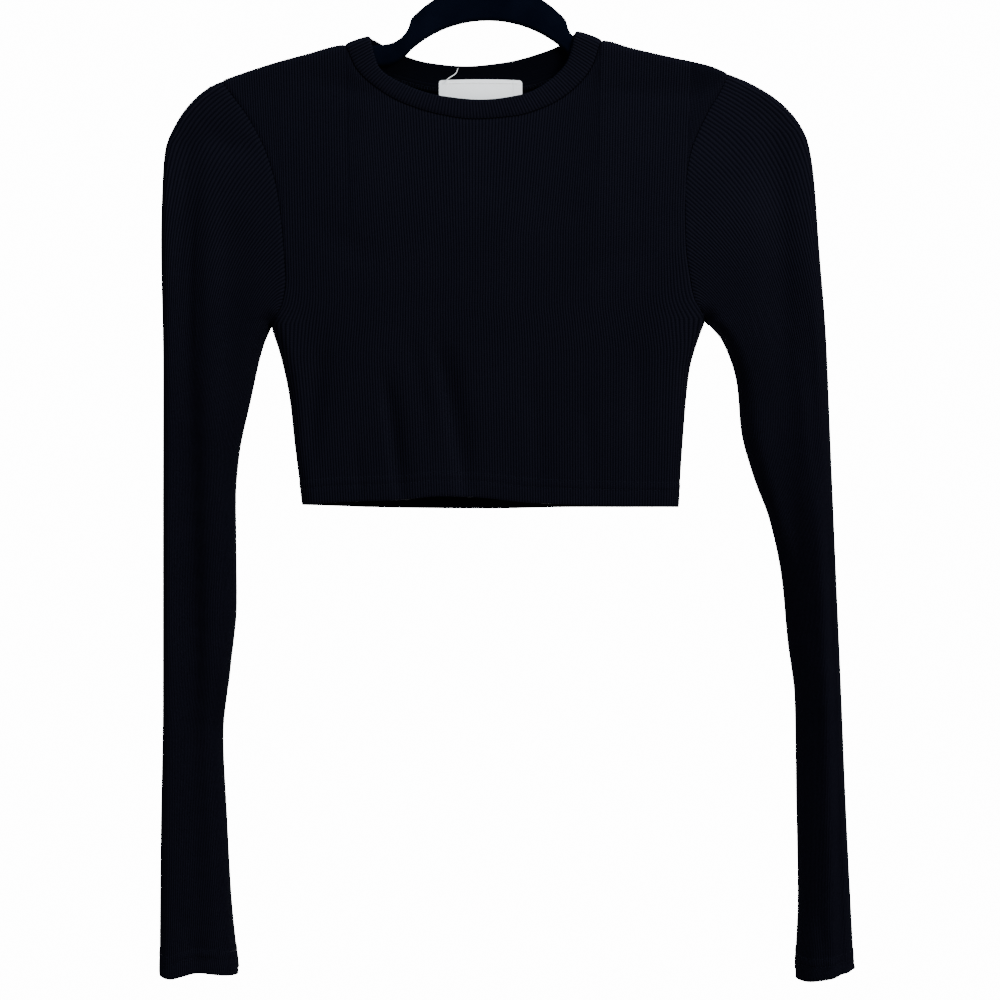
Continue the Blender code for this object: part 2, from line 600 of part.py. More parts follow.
def head_grid(lengths_at, start_drop, pit_drop):
    """Arc and drop of the sleeve head's grid: the smoothest one between its four edges."""
    share = np.linspace(0, 1, len(start_drop))
    w = HEAD_ROWS["outer"][:, None] * (1 - share) + HEAD_ROWS["under"][:, None] * share
    drop = start_drop * (1 - w) + SLEEVE_LEVEL * w
    end_drop = pit_drop * (1 - w[:, -1]) + SLEEVE_LEVEL * w[:, -1]
    arc = lengths_at(start_drop) * (1 - w) + share * lengths_at(SLEEVE_LEVEL) * w
    arc[:, 0], arc[:, -1] = 0, lengths_at(end_drop)
    arc[0] = lengths_at(start_drop)
    steps = np.diff((HEAD_ROWS["outer"] + HEAD_ROWS["under"]) / 2)[:, None]
    above, below = steps[:-1], steps[1:]
    step = 1 / (len(start_drop) - 1)
    side = 1 / step**2
    up, down = 2 / (above * (above + below)), 2 / (below * (above + below))
    for _ in range(4000):
        for field in (arc, drop):
            field[1:-1, 1:-1] = (
                side * (field[1:-1, :-2] + field[1:-1, 2:])
                + up * field[:-2, 1:-1] + down * field[2:, 1:-1]
            ) / (2 * side + up + down)
    return arc, drop


def sleeve_half(side, layer, seam, columns):
    """Points and outward directions of one layer, from its outer edge to its inner edge."""
    unrolled = unrolled_sleeve(side, layer)
    levels, _, _, lengths = unrolled
    share = np.linspace(0, 1, columns + 1)
    fine = np.linspace(0, 1, 200)
    pace = np.cumsum(np.sqrt(1 + (HEAD_BELL * np.sin(np.pi * fine)) ** 2))
    pace = (pace - pace[0]) / (pace[-1] - pace[0])
    start, start_out = along_polyline(seam, snapped(np.interp(share, fine, pace), arc_shares(seam)))
    rows, normals = [], []
    outward = 1 if (layer == "back") == (side == "left") else -1

    def span(drop):
        return np.interp(drop, levels, lengths)

    def add(part, drop):
        point = on_sleeve(unrolled, part, drop)
        reach = 0.4 / np.maximum(span(drop), 1)
        across = on_sleeve(unrolled, part + reach, drop) - on_sleeve(unrolled, part - reach, drop)
        down = on_sleeve(unrolled, part, drop + 0.5) - on_sleeve(unrolled, part, drop - 0.5)
        rows.append(point)
        normals.append(outward * unit(np.cross(across, down)))

    arc, drops = head_grid(span, -start[:, 2], PIT[side][1])
    for arc_row, drop in zip(arc, drops):
        part = np.clip(arc_row / np.maximum(span(drop), 1e-6), 0, 1)
        part[0], part[-1] = 0, 1
        add(part, drop)
    rows[0], normals[0] = start, start_out
    for k in range(1, TUBE_ROWS + 1):
        front = smooth(CUFF[side]["share"], CUFF[side]["drop"], share)
        cuff = front if layer == "front" else front[0] + (front[-1] - front[0]) * share
        add(share, SLEEVE_LEVEL + (cuff - SLEEVE_LEVEL) * k / TUBE_ROWS)
    return np.array(rows), np.array(normals)


def sleeve(side, seams, columns):
    """Outside, outward directions and inside of a sleeve, round it from the underarm over the front."""
    front, front_out = sleeve_half(side, "front", seams["front"], columns)
    back, back_out = sleeve_half(side, "back", seams["back"], columns)
    edge = edge_normal(front[:, 0], front[:, 4])
    under = edge_normal(front[:, -1], front[:, -4])
    front_out[1:, 0], front_out[1:, -1] = edge[1:], under[1:]
    front[1:, -1, 1] = tube_middle(side, 0, -front[1:, -1, 2])
    points = np.concatenate([front[:, ::-1], back[:, 1:-1]], 1)
    normals = np.concatenate([front_out[:, ::-1], back_out[:, 1:-1]], 1)
    points[0] = drawn_in(points[0], normals[0], points[2], True)
    return points, normals, points - normals * WALL


# ---- neckband and label --------------------------------------------------------------------------
BAND_PROUD = 0.6  # the double band stands this much out from the panel
BAND_LEAST = 5.2  # half of the band's depth over the hanger
BAND_LEAN = 0.75  # share of the swell that is left at the band's top edge


def neckband(edges):
    """Points and outward directions of the band: rows from the neck seam to the folded top edge."""
    low, low_out, high = [], [], []
    for layer, curve in (("front", BAND_TOP_FRONT), ("back", BAND_TOP_BACK)):
        edge, out = edges[layer][:, :3], edges[layer][:, 3:]
        share = arc_shares(edge)
        low.append(edge + BAND_PROUD * out)
        low_out.append(out)
        x, drop = curve_points(curve, 400)
        side = np.interp(np.linspace(0, 1, 400), share, low[-1][:, 1])
        over = rounded(np.minimum(np.arange(400), np.arange(399, -1, -1)) / 400 * 230, BAND_LEAST)
        depth = BAND_LEAST + BAND_LEAN * np.maximum(np.abs(side) - BAND_LEAST, 0)
        top = placed(x, math.copysign(1, side[200]) * depth * over, drop)
        high.append(along_polyline(top, share))
    low = np.concatenate([low[0][:-1], low[1][::-1][:-1]])
    low_out = np.concatenate([low_out[0][:-1], low_out[1][::-1][:-1]])
    high = np.concatenate([high[0][:-1], high[1][::-1][:-1]])
    rows = np.array([low, (low + high) / 2, high])
    around = np.roll(rows, -1, 1) - np.roll(rows, 1, 1)
    across = np.gradient(rows, axis=0)
    normals = unit(np.cross(across, around))
    middle = rows.mean((0, 1))
    if ((rows - middle) * normals).sum() < 0:
        normals = -normals
    rows[1] += normals[1] * 0.5
    normals[0] = low_out
    rows[0] = drawn_in(rows[0], low_out, rows[1], True)
    return rows, normals


def label():
    """Front and back points of the label, which hangs flat from the inside of the neckband."""
    side = np.linspace(-1, 1, 13)
    x = LABEL_X + side * LABEL_WIDE / 2
    seam = smooth(NECK_BACK["x"], NECK_BACK["drop"], x)
    inside = layer_depth("back", "body", x, seam) + BAND_PROUD - BAND_THICK - SEAM_GAP - LABEL_LEAN
    drop = LABEL_DROP + LABEL_BOW * side**2 + np.linspace(0, LABEL_TALL, 4)[:, None]
    back = placed(np.repeat(x[None], 4, 0), np.repeat(inside[None], 4, 0), drop)
    return back - (0, LABEL_THICK, 0), back


# ---- meshes --------------------------------------------------------------------------------------
def material(name, colour, roughness, metallic=0.0):
    made = bpy.data.materials.new(name)
    made.use_nodes = True
    shader = made.node_tree.nodes["Principled BSDF"]
    shader.inputs["Base Color"].default_value = (*colour, 1)
    shader.inputs["Roughness"].default_value = roughness
    shader.inputs["Metallic"].default_value = metallic
    return made


def add_mesh(name, shape, collection, finish):
    """Turns a closed bmesh in millimetres into a named object in metres."""
    bmesh.ops.triangulate(shape, faces=shape.faces)
    bmesh.ops.recalc_face_normals(shape, faces=shape.faces)
    bmesh.ops.scale(shape, vec=(MM, MM, MM), verts=shape.verts)
    mesh = bpy.data.meshes.new(name)
    shape.to_mesh(mesh)
    shape.free()
    mesh.materials.append(finish)
    mesh.shade_smooth()
    mesh.set_sharp_from_angle(angle=math.radians(40))
    made = bpy.data.objects.new(name, mesh)
    collection.objects.link(made)
    return made


def inner_columns(count, edges, closed=False, creased=()):
    """Columns that the plain inside has: every INNER_STRIDE-th, and more beside folds and edges."""
    wanted = set(range(0, count, INNER_STRIDE)) | set(edges) | set(creased)
    for edge in edges:
        for k in BESIDE_EDGE:
            wanted |= {(edge + k) % count, (edge - k) % count} if closed else {edge + k, edge - k}
    return sorted(wanted if closed else {c for c in wanted if 0 <= c < count})


def ribbed_wall(points, normals, back, inner, closed=False):
    """A closed wall: every second outer column is a rib's crest, and the inside is plain.

    Cells without points are left out, and the rim joins each inner edge to the outer ones over it.
    """
    shape = bmesh.new()
    rows, columns = points.shape[:2]
    crest = (np.arange(columns) % 2)[None, :, None] * RIB_RELIEF
    for pit_x, pit_drop in PIT.values():
        far = np.hypot(points[..., 0] - pit_x, points[..., 2] + pit_drop)[..., None]
        crest = crest * ease((far - 2) / PIT_PLAIN)
    outer = points + normals * crest
    real = ~np.isnan(points[..., 0])
    outside = {rc: shape.verts.new(outer[rc]) for rc in zip(*np.nonzero(real))}
    inside = {rc: shape.verts.new(back[rc]) for rc in outside if rc[1] in inner}
    cells = list(zip(inner, inner[1:]))
    if closed:
        cells.append((inner[-1], inner[0] + columns))

    def at(r, c):
        return r, c % columns

    def whole(r, j):
        """True if cell j of the inside exists between rows r and r + 1."""
        if not 0 <= r < rows - 1 or (not closed and not 0 <= j < len(cells)):
            return False
        first, last = cells[j % len(cells)]
        return all(real[at(r + a, c)] for a in (0, 1) for c in range(first, last + 1))

    def rim(path, first, last):
        half = (len(path) - 1) // 2
        if len(path) == 2:
            shape.faces.new((path[0], path[1], last, first))
            return
        for k in range(half):
            shape.faces.new((path[k], path[k + 1], first))
        shape.faces.new((path[half], last, first))
        for k in range(half, len(path) - 1):
            shape.faces.new((path[k], path[k + 1], last))

    for r in range(rows - 1):
        for j, (first, last) in enumerate(cells):
            if not whole(r, j):
                continue
            for k in range(first, last):
                corners = at(r, k), at(r, k + 1), at(r + 1, k + 1), at(r + 1, k)
                shape.faces.new([outside[p] for p in corners])
            corners = at(r, first), at(r, last), at(r + 1, last), at(r + 1, first)
            shape.faces.new([inside[p] for p in corners][::-1])
            for row, beside in ((r, r - 1), (r + 1, r + 1)):
                if not whole(beside, j):
                    path = [outside[at(row, c)] for c in range(first, last + 1)]
                    rim(path, inside[at(row, first)], inside[at(row, last)])
            for column, beside in ((first, j - 1), (last, j + 1)):
                if not whole(r, beside):
                    ends = at(r, column), at(r + 1, column)
                    rim([outside[p] for p in ends], *(inside[p] for p in ends))
    return shape


def plate(front, back):
    """A closed thin plate between two grids of points."""
    shape = bmesh.new()
    rows, columns = front.shape[:2]
    faces = [[[shape.verts.new(p) for p in row] for row in side] for side in (front, back)]
    for grid in faces:
        for r in range(rows - 1):
            for c in range(columns - 1):
                shape.faces.new((grid[r][c], grid[r][c + 1], grid[r + 1][c + 1], grid[r + 1][c]))
    loops = [
        [g[0][c] for c in range(columns)] + [g[r][-1] for r in range(1, rows)]
        + [g[-1][c] for c in range(columns - 2, -1, -1)] + [g[r][0] for r in range(rows - 2, 0, -1)]
        for g in faces
    ]
    for k in range(len(loops[0])):
        n = (k + 1) % len(loops[0])
        shape.faces.new((loops[0][k], loops[0][n], loops[1][n], loops[1][k]))
    return shape


def lofted(sections):
    """A closed body through rings of points, with a flat cap at either end."""
    shape = bmesh.new()
    rings = [[shape.verts.new(p) for p in section] for section in sections]
    count = len(rings[0])
    for low, high in zip(rings, rings[1:]):
        for k in range(count):
            shape.faces.new((low[k], low[(k + 1) % count], high[(k + 1) % count], high[k]))
    shape.faces.new(rings[0])
    shape.faces.new(rings[-1])
    return shape


# ---- hanger and hook -----------------------------------------------------------------------------
def hanger_lines():
    """Top and underside of the hanger's right half, point against point, from the middle out."""
    share = np.linspace(0, 1, 8)[:, None]
    lines = {}
    for name, (middle, radius) in ARCH.items():
        turn = np.radians(ARCH_FOOT[name]) * share
        lines[name] = np.hstack([radius * np.sin(turn), middle - radius * np.cos(turn)])
    foot = [HANGER_FOOT[name] for name in ("x", "drop", "under_x", "under_drop")]
    x, drop = curve_points(HANGER_ARM, 13)
    top = np.stack([x, drop], -1)
    under = top + ARM_BAND * unit(np.gradient(top, axis=0))[:, ::-1] * (-1, 1)
    tops = np.vstack([lines["outer"], np.stack(foot[:2], -1), top])
    return tops, np.vstack([lines["inner"], np.stack(foot[2:], -1), under])


def hanger():
    """Sections with full-round edges from nose to nose."""
    top, under = hanger_lines()
    middle, half = (top + under) / 2, (top - under) / 2
    end, end_half = middle[-1], half[-1]
    out = unit(middle[-1] - middle[-2])
    for t in (0.35, 0.7, 0.9, 0.985):
        middle = np.vstack([middle, end + out * t * ARM_BAND / 2])
        half = np.vstack([half, end_half * math.sqrt(1 - t * t)])
    sections = []
    for (mx, md), (hx, hd) in zip(middle, half):
        high = math.hypot(hx, hd)
        thick = min(HANGER_THICK / 2, 0.8 * high)
        ring = []
        for sign in (1, -1):
            for a in np.radians([90, 45, 0, -45, -90]):
                far = sign * (high - thick + thick * math.cos(a)) / high
                ring.append((mx + hx * far, sign * thick * math.sin(a), -(md + hd * far)))
        sections.append(np.array(ring))
    sections = [section * (-1, 1, 1) for section in sections[:0:-1]] + sections
    tilt = math.radians(HANGER_TILT)
    turn = np.array([[math.cos(tilt), 0, math.sin(tilt)], [0, 1, 0], [-math.sin(tilt), 0, math.cos(tilt)]])
    pivot = np.array([0, 0, -ARCH["outer"][0]])
    return lofted([(section - pivot) @ turn.T + pivot for section in sections])


def hook():
    """Wire from the free end over the rod and down to the hanger's arch."""
    radius = HOOK_RADIUS + HOOK_WIRE / 2
    turn = np.radians(np.arange(-112, 110, 12))
    x = np.concatenate([radius * np.sin(turn), HOOK_FOOT["x"]])
    drop = np.concatenate([HOOK_RADIUS - radius * np.cos(turn), HOOK_FOOT["drop"]])
    path = np.stack([x, drop], -1)
    along = unit(np.gradient(path, axis=0))
    sections = []
    for (px, pd), (ax, ad) in zip(path, along):
        ring = []
        for a in np.radians(np.arange(0, 360, 45)):
            off = HOOK_WIRE / 2 * math.cos(a)
            ring.append((px - ad * off, HOOK_WIRE / 2 * math.sin(a), -(pd + ax * off)))
        sections.append(ring)
    return lofted(sections)


# ---- the object ----------------------------------------------------------------------------------
def ribs_to_columns(wales):
    """Columns of a grid on which each raised rib has a groove and a crest."""
    return 2 * wales // WALES_PER_RIB


def build():
    for old in list(bpy.data.objects):
        bpy.data.objects.remove(old)
    top = bpy.data.collections.new("crop_top")
    bpy.context.scene.collection.children.link(top)
    knit = material("rib_knit", (0.0035, 0.0042, 0.0072), 0.95)
    flock = material("flocking", (0.0016, 0.0022, 0.0042), 1.0)
    white = material("label_white", (0.8, 0.8, 0.8), 0.7)
    chrome = material("chrome_wire", (0.75, 0.75, 0.77), 0.2, 1.0)
    main, wing = ribs_to_columns(BODY_WALES), ribs_to_columns(WING_WALES)
    armholes, necks = {"left": {}, "right": {}}, {}
    for layer in ("front", "back"):
        points, normals, inside, armhole, necks[layer], corners = panel(layer, main, wing)
        for side in armholes:
            armholes[side][layer] = armhole[side]
        inside_neck = corners[0] + 1, corners[0] + 2, corners[1] - 1, corners[1] - 2
        last = points.shape[1] - 1
        inner = inner_columns(last + 1, (0, wing, wing + main, last), creased=inside_neck)
        add_mesh(layer, ribbed_wall(points, normals, inside, inner), top, knit)
    for side, seams in armholes.items():
        half = ribs_to_columns(SLEEVE_WALES) // 2
        points, normals, inside = sleeve(side, seams, half)
        bent = 3, 6, 10, *range(14, 32, 2)
        inner = inner_columns(2 * half, (0, half), True, (*bent, *(2 * half - c for c in bent[:3])))
        add_mesh(f"sleeve_{side}", ribbed_wall(points, normals, inside, inner, True), top, knit)
    points, normals = neckband(necks)
    inner = inner_columns(points.shape[1], (0, len(necks["front"]) - 1), True)
    wall = ribbed_wall(points, normals, points - normals * BAND_THICK, inner, True)
    add_mesh("neckband", wall, top, knit)
    add_mesh("label", plate(*label()), top, white)
    add_mesh("hanger", hanger(), top, flock)
    add_mesh("hook", hook(), top, chrome)


build()
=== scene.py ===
# %% [markdown]
# # A rib-knit crop top on a flocked hanger
#
# This lesson dresses a plain CAD model of a hanging garment. The CAD says where everything is; here
# each cloth panel is rebuilt along the same surface, with every wale of its knit.

import math

import bmesh
import bpy
import numpy as np
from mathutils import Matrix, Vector, kdtree


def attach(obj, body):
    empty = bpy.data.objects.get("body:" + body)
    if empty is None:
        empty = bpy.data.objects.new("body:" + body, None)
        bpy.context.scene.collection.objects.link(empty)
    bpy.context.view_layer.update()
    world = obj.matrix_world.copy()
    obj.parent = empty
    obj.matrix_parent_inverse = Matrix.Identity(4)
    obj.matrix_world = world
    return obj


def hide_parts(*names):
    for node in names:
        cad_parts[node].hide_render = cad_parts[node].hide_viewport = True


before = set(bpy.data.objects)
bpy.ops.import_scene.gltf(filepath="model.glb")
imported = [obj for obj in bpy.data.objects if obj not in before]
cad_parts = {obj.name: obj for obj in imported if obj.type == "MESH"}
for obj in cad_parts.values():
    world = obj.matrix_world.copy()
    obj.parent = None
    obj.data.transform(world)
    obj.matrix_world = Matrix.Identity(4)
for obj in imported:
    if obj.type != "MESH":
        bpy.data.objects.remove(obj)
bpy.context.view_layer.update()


print("CAD nodes:", ", ".join(sorted(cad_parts)))

# %% [markdown]
# ## The garment's sizes
#
# All lengths are millimetres until a mesh is made. x runs to the right, y to the back, and drop runs
# down from the rail. The tables hold the outline: shoulder ridge, sleeve edges, armholes, neck, hems.

# %% Sizes
MM = 0.001
WALL = 1.2  # cloth, measured in the groove between two wales
RIB_RELIEF = 0.42  # how far a wale stands out of its groove
SEAM_GAP = 0.33  # between two pieces at a seam
BODY_WALES, WING_WALES, SLEEVE_WALES, BAND_WALES = 150, 24, 136, 186
PER_WALE = 4  # columns of the mesh for one wale

RIDGE_RADIUS = 4.6  # outside of the fold over the hanger
FRONT_FULLNESS, BACK_FULLNESS = 9.0, 7.0  # how far each layer swells below the ridge
FULL_AFTER = 150.0  # drop below the ridge at which a layer has swollen fully
EDGE_ROUND = 11.0  # width over which a layer rounds into a side edge
FOLD_LIMIT = 0.8  # share of a layer's swell that a fold can take away
OVER_HANGER = 4.3  # folds never press a layer nearer to the hanger's plane than this
BAND_THICK = 2.2  # the neckband is folded double
LABEL_WIDE, LABEL_TALL = 57.6, 20.0
LABEL_X, LABEL_DROP = -5.2, 120.2  # middle of the label's top edge
LABEL_BOW = 0.7  # the top edge's ends lie this much lower than its middle
LABEL_LEAN = 0.1  # the neckband leans in by this much at the label's top edge


def table(names, *rows):
    """A dictionary of named columns."""
    return dict(zip(names.split(), np.array(rows, float).T))


# Where the two layers meet: along the shoulder ridge, round the sleeve head and down to the cuff.
RIDGE = {
    "left": table("x drop", (-98, 97), (-127, 104), (-152, 111), (-173, 118), (-184, 122)),
    "right": table("x drop", (78, 94), (100, 99.5), (128, 106), (153, 111.5), (166, 117)),
}
OUTER = {
    "left": table(
        "x drop", (-184, 122), (-195, 128), (-209, 142), (-217, 155.5), (-222, 168), (-224, 190),
        (-225, 232), (-223.5, 321), (-223.5, 549), (-225, 640), (-226, 738),
    ),
    "right": table(
        "x drop", (166, 117), (183, 124.5), (199.5, 135), (212, 148), (220, 163), (224, 185),
        (228, 238), (233, 300), (236, 363), (240, 452), (244, 539), (248, 632), (253, 731),
    ),
}
# Armhole seam on the front, from the shoulder tip down to the pit; the back seam lies further out.
ARMHOLE = {
    "left": table(
        "drop x", (122, -184), (135, -174), (149, -164), (174, -151.5), (203, -143.5), (237, -139.5),
        (260, -138), (277, -140.5), (291, -149.5),
    ),
    "right": table(
        "drop x", (117, 166), (129, 160.5), (146, 150.5), (176, 138.5), (205, 135), (237, 135.5),
        (257, 138), (273, 141), (287, 150),
    ),
}
BACK_ARMHOLE_OUT = 5.0  # the back panel is this much wider at mid armhole
# Below the pit, the sleeve's inner edge and the body's side seam.
PIT = {"left": (-149.5, 291.0), "right": (150.0, 287.0)}
SLEEVE_INNER = {
    "left": table(
        "drop x", (291, -149.5), (304, -155), (342, -164), (383, -172.5), (411, -174.5), (480, -174),
        (528, -178.5), (574, -183.5), (632, -181), (687, -178), (736, -173),
    ),
    "right": table(
        "drop x", (287, 150), (301, 162), (332, 172.5), (363, 175.5), (394, 184), (425, 195.5),
        (466, 204), (508, 208), (549, 213), (618, 214), (684, 215), (732, 213),
    ),
}
SIDE_SEAM = {
    "left": table("drop x", (291, -149.5), (311, -143), (342, -136.5), (373, -133), (415, -127.5)),
    "right": table("drop x", (287, 150), (301, 144.5), (321, 139), (342, 136.5), (373, 134), (416, 131)),
}
# Neck seam and the folded top edge of the neckband, front and back, from left ridge to right ridge.
NECK_FRONT = table(
    "x drop", (-98, 97), (-90.5, 114), (-77, 127), (-57.5, 138.5), (-34, 146), (-10, 149.5),
    (17.5, 147.5), (41.5, 140), (61, 126.5), (72, 112), (78, 94),
)
BAND_TOP_FRONT = table(
    "x drop", (-81.5, 91), (-75, 113), (-55.5, 126), (-34, 133), (-5, 136), (23, 132.5),
    (43, 122), (55, 108), (60.5, 87.5),
)
NECK_BACK = table(
    "x drop", (-98, 97), (-88, 108), (-66, 117.5), (-36, 124.5), (-5, 126.5), (26, 123.5),
    (52, 114.5), (70, 103), (78, 94),
)
BAND_TOP_BACK = table(
    "x drop", (-81.5, 91), (-60, 102.5), (-42, 108), (-15.5, 110.5), (11, 108), (38, 101),
    (50, 96), (60.5, 87.5),
)
# Hem line of the front panel and of the back panel.
HEM_FRONT = table(
    "x drop", (-128, 414.5), (-101, 412.5), (-60, 411), (-33, 408.5), (-12, 409), (29, 413),
    (77, 415), (131, 416),
)
HEM_BACK = table("x drop", (-128, 414.5), (-60, 416.5), (0, 417), (60, 416), (131, 416))
# Cuff line: drop at each share of the way round, from the outer edge over the front to the inner edge.
CUFF = {
    "left": table("share drop", (0, 736), (0.15, 738.5), (0.4, 735), (0.75, 738.5), (1, 735)),
    "right": table("share drop", (0, 734), (0.3, 738), (0.6, 742), (0.8, 741), (1, 737)),
}
# Flattened sleeve below the head: half the thickness, and how far the middle of the tube lies behind
# the hanger's plane at its inner edge, at its front crest, at the notch outside the crest and at its
# outer edge. crest and notch are shares of the way from the inner to the outer edge.
SLEEVE = {
    "left": table(
        "drop half inner crest notch outer crest_at notch_at",
        (232, 13, 0, 0, 0, 0, 0.4, 0.8),
        (320, 15, 0, -1, 0, 0, 0.4, 0.8),
        (420, 15, 2, 0, 0, -1, 0.4, 0.8),
        (560, 15, 4, 0, 0, -1, 0.4, 0.8),
        (740, 15, 5, 0, 0, 0, 0.4, 0.8),
    ),
    "right": table(
        "drop half inner crest notch outer crest_at notch_at",
        (232, 13, 0, 0, 0, 0, 0.6, 0.85),
        (290, 14, 0, -1, 0, 1, 0.6, 0.85),
        (363, 12.5, 4, -3, 1, 3, 0.66, 0.86),
        (450, 11.5, 7, -4, 1, 4, 0.62, 0.86),
        (540, 11, 8, -4, 1, 5, 0.58, 0.84),
        (640, 11, 7, -4, 1.5, 6, 0.54, 0.82),
        (742, 11, 5, -4, 2, 6, 0.5, 0.8),
    ),
}
print("Neck opening:", NECK_FRONT["x"][-1] - NECK_FRONT["x"][0], "mm wide")

# %% [markdown]
# ## Folds
#
# Cloth that hangs is never smooth. Each row is one fold: a path of three points, its reach to either
# side and its depth. A minus depth is a ridge. The CAD has the larger ones; the others are finer.

# %% Folds
FOLDS = {
    "front": table(
        "x0 drop0 x1 drop1 x2 drop2 reach_left reach_right depth",
        (-127, 121, -100, 127, -68, 135, 7, 7, 1.8),  # left shoulder to the neckband
        (78, 128, 115, 131, 160, 128, 7, 7, 1.4),  # across the right shoulder
        (-113, 305, -119, 348, -125, 396, 5, 8, 3.4),
        (-70, 330, -65, 368, -59, 418, 4, 7, 4.6),
        (-34, 305, -24, 352, -14, 412, 5, 9, 4.6),
        (102, 305, 102, 345, 101, 395, 6, 9, 1.9),
        (-207, 168, -205, 440, -196, 765, 10, 10, 10.0),  # long valley of the left sleeve
        (-178, 205, -176, 325, -174, 400, 9, 16, 5.0),  # underarm, behind the tube's front
        (196, 150, 203, 300, 213, 500, 12, 10, 6.0),  # dark valley of the right sleeve
        (183, 338, 195, 400, 207, 450, 7, 7, -1.8),
        (226, 240, 229, 450, 236, 735, 5, 4, -3.0),  # lit ridge beside it
        (243, 560, 241, 640, 242, 740, 4, 5, 2.4),
        (-178, 360, -176, 480, -180, 600, 6, 5, 1.8),
        (-188, 560, -184, 575, -178, 590, 4, 4, 1.6),  # nick in the left sleeve
        (-52, 300, -46, 330, -42, 372, 6, 5, 1.1),
        (30, 330, 34, 372, 36, 420, 6, 9, 1.3),
        (66, 345, 70, 380, 74, 416, 5, 7, 1.2),
        (-90, 372, -88, 396, -86, 424, 4, 5, 1.0),
        (-120, 215, -96, 236, -70, 246, 7, 9, 1.0),  # drag lines from the armholes
        (112, 232, 92, 246, 66, 252, 8, 7, 1.0),
        (-200, 150, -180, 165, -158, 172, 8, 6, 1.2),
        (-212, 690, -204, 712, -200, 742, 5, 5, 1.6),
        (226, 690, 229, 712, 230, 744, 4, 5, 1.3),
    ),
    "back": table(
        "x0 drop0 x1 drop1 x2 drop2 reach_left reach_right depth",
        (-120, 128, -60, 150, 0, 158, 8, 8, 1.5),
        (95, 125, 50, 146, 10, 152, 8, 8, 1.4),
        (-90, 310, -84, 360, -80, 418, 8, 8, 1.7),
        (12, 325, 8, 365, 10, 420, 8, 8, 1.5),
        (84, 300, 92, 350, 94, 412, 8, 8, 1.6),
        (-199, 290, -200, 500, -203, 760, 11, 11, 5.5),
        (205, 250, 212, 360, 219, 480, 12, 12, 3.0),
        (220, 530, 221, 640, 222, 760, 12, 12, 2.0),
        (-40, 330, -34, 372, -28, 416, 5, 9, 2.0),
        (50, 318, 46, 360, 40, 414, 6, 8, 1.6),
        (-112, 330, -116, 366, -120, 404, 5, 7, 1.4),
        (-110, 222, -84, 238, -60, 246, 7, 9, 1.1),
        (108, 226, 84, 240, 58, 244, 8, 8, 1.2),
        (-180, 350, -178, 470, -184, 590, 6, 6, 1.8),
        (-210, 640, -206, 690, -203, 745, 5, 6, 1.5),
        (190, 240, 196, 330, 206, 420, 6, 7, 1.6),
        (234, 560, 236, 640, 237, 740, 4, 5, 1.6),
    ),
}
print("Folds in front and back:", [len(f["depth"]) for f in FOLDS.values()])

# %% [markdown]
# ## Small helpers for curves
#
# A cubic that never overshoots keeps an outline from wobbling between its points.

# %% Curves
def smooth(xs, ys, x):
    """Piecewise cubic through the points (xs, ys) that never overshoots them."""
    xs, ys, x = np.asarray(xs, float), np.asarray(ys, float), np.asarray(x, float)
    if xs[0] > xs[-1]:
        xs, ys = xs[::-1], ys[::-1]
    step = np.diff(xs)
    rise = np.diff(ys) / step
    slope = np.zeros(len(xs))
    same = rise[:-1] * rise[1:] > 0
    w1, w2 = 2 * step[1:] + step[:-1], step[1:] + 2 * step[:-1]
    safe = np.where(same, rise[:-1] * rise[1:], 1.0)
    slope[1:-1] = np.where(same, (w1 + w2) * safe / (w1 * rise[1:] + w2 * rise[:-1] + 1e-12), 0)
    slope[0], slope[-1] = rise[0], rise[-1]
    i = np.clip(np.searchsorted(xs, x) - 1, 0, len(step) - 1)
    t = np.clip((x - xs[i]) / step[i], 0, 1)
    h = step[i]
    return (
        ys[i] * (1 + 2 * t) * (1 - t) ** 2 + h * slope[i] * t * (1 - t) ** 2
        + ys[i + 1] * t * t * (3 - 2 * t) + h * slope[i + 1] * t * t * (t - 1)
    )


def x_on(curve, drop):
    return smooth(curve["drop"], curve["x"], drop)


def drop_on(curve, x):
    return smooth(curve["x"], curve["drop"], x)


def ease(t):
    t = np.clip(t, 0, 1)
    return t * t * (3 - 2 * t)


def unit(vectors):
    return vectors / np.linalg.norm(vectors, axis=-1, keepdims=True)


def rounded(distance, width):
    """0 at an edge and 1 from width on, along a quarter circle."""
    t = 1 - np.clip(distance / width, 0, 1)
    return np.sqrt(np.clip(1 - t * t, 0, 1))


def running_total(steps, axis=0):
    """Sum of the steps so far along an axis, from 0 at its start."""
    start = np.zeros_like(np.take(steps, [0], axis))
    return np.concatenate([start, np.cumsum(steps, axis)], axis)


def length_so_far(points):
    """Length from the first point, or from the first row of a grid."""
    return running_total(np.linalg.norm(np.diff(points, axis=0), axis=-1))


def curve_points(curve, count):
    """count points spaced evenly along the smooth curve through a table's x and drop."""
    along = running_total(np.hypot(np.diff(curve["x"]), np.diff(curve["drop"])))
    fine = np.linspace(0, along[-1], 600)
    x, drop = smooth(along, curve["x"], fine), smooth(along, curve["drop"], fine)
    length = running_total(np.hypot(np.diff(x), np.diff(drop)))
    even = np.linspace(0, length[-1], count)
    return np.interp(even, length, x), np.interp(even, length, drop)


def outer_line(side):
    """Shoulder ridge and outer sleeve edge as one dense line."""
    ridge, outer = curve_points(RIDGE[side], 60), curve_points(OUTER[side], 240)
    return np.concatenate([ridge[0], outer[0][1:]]), np.concatenate([ridge[1], outer[1][1:]])


OUTER_LINE = {side: outer_line(side) for side in ("left", "right")}


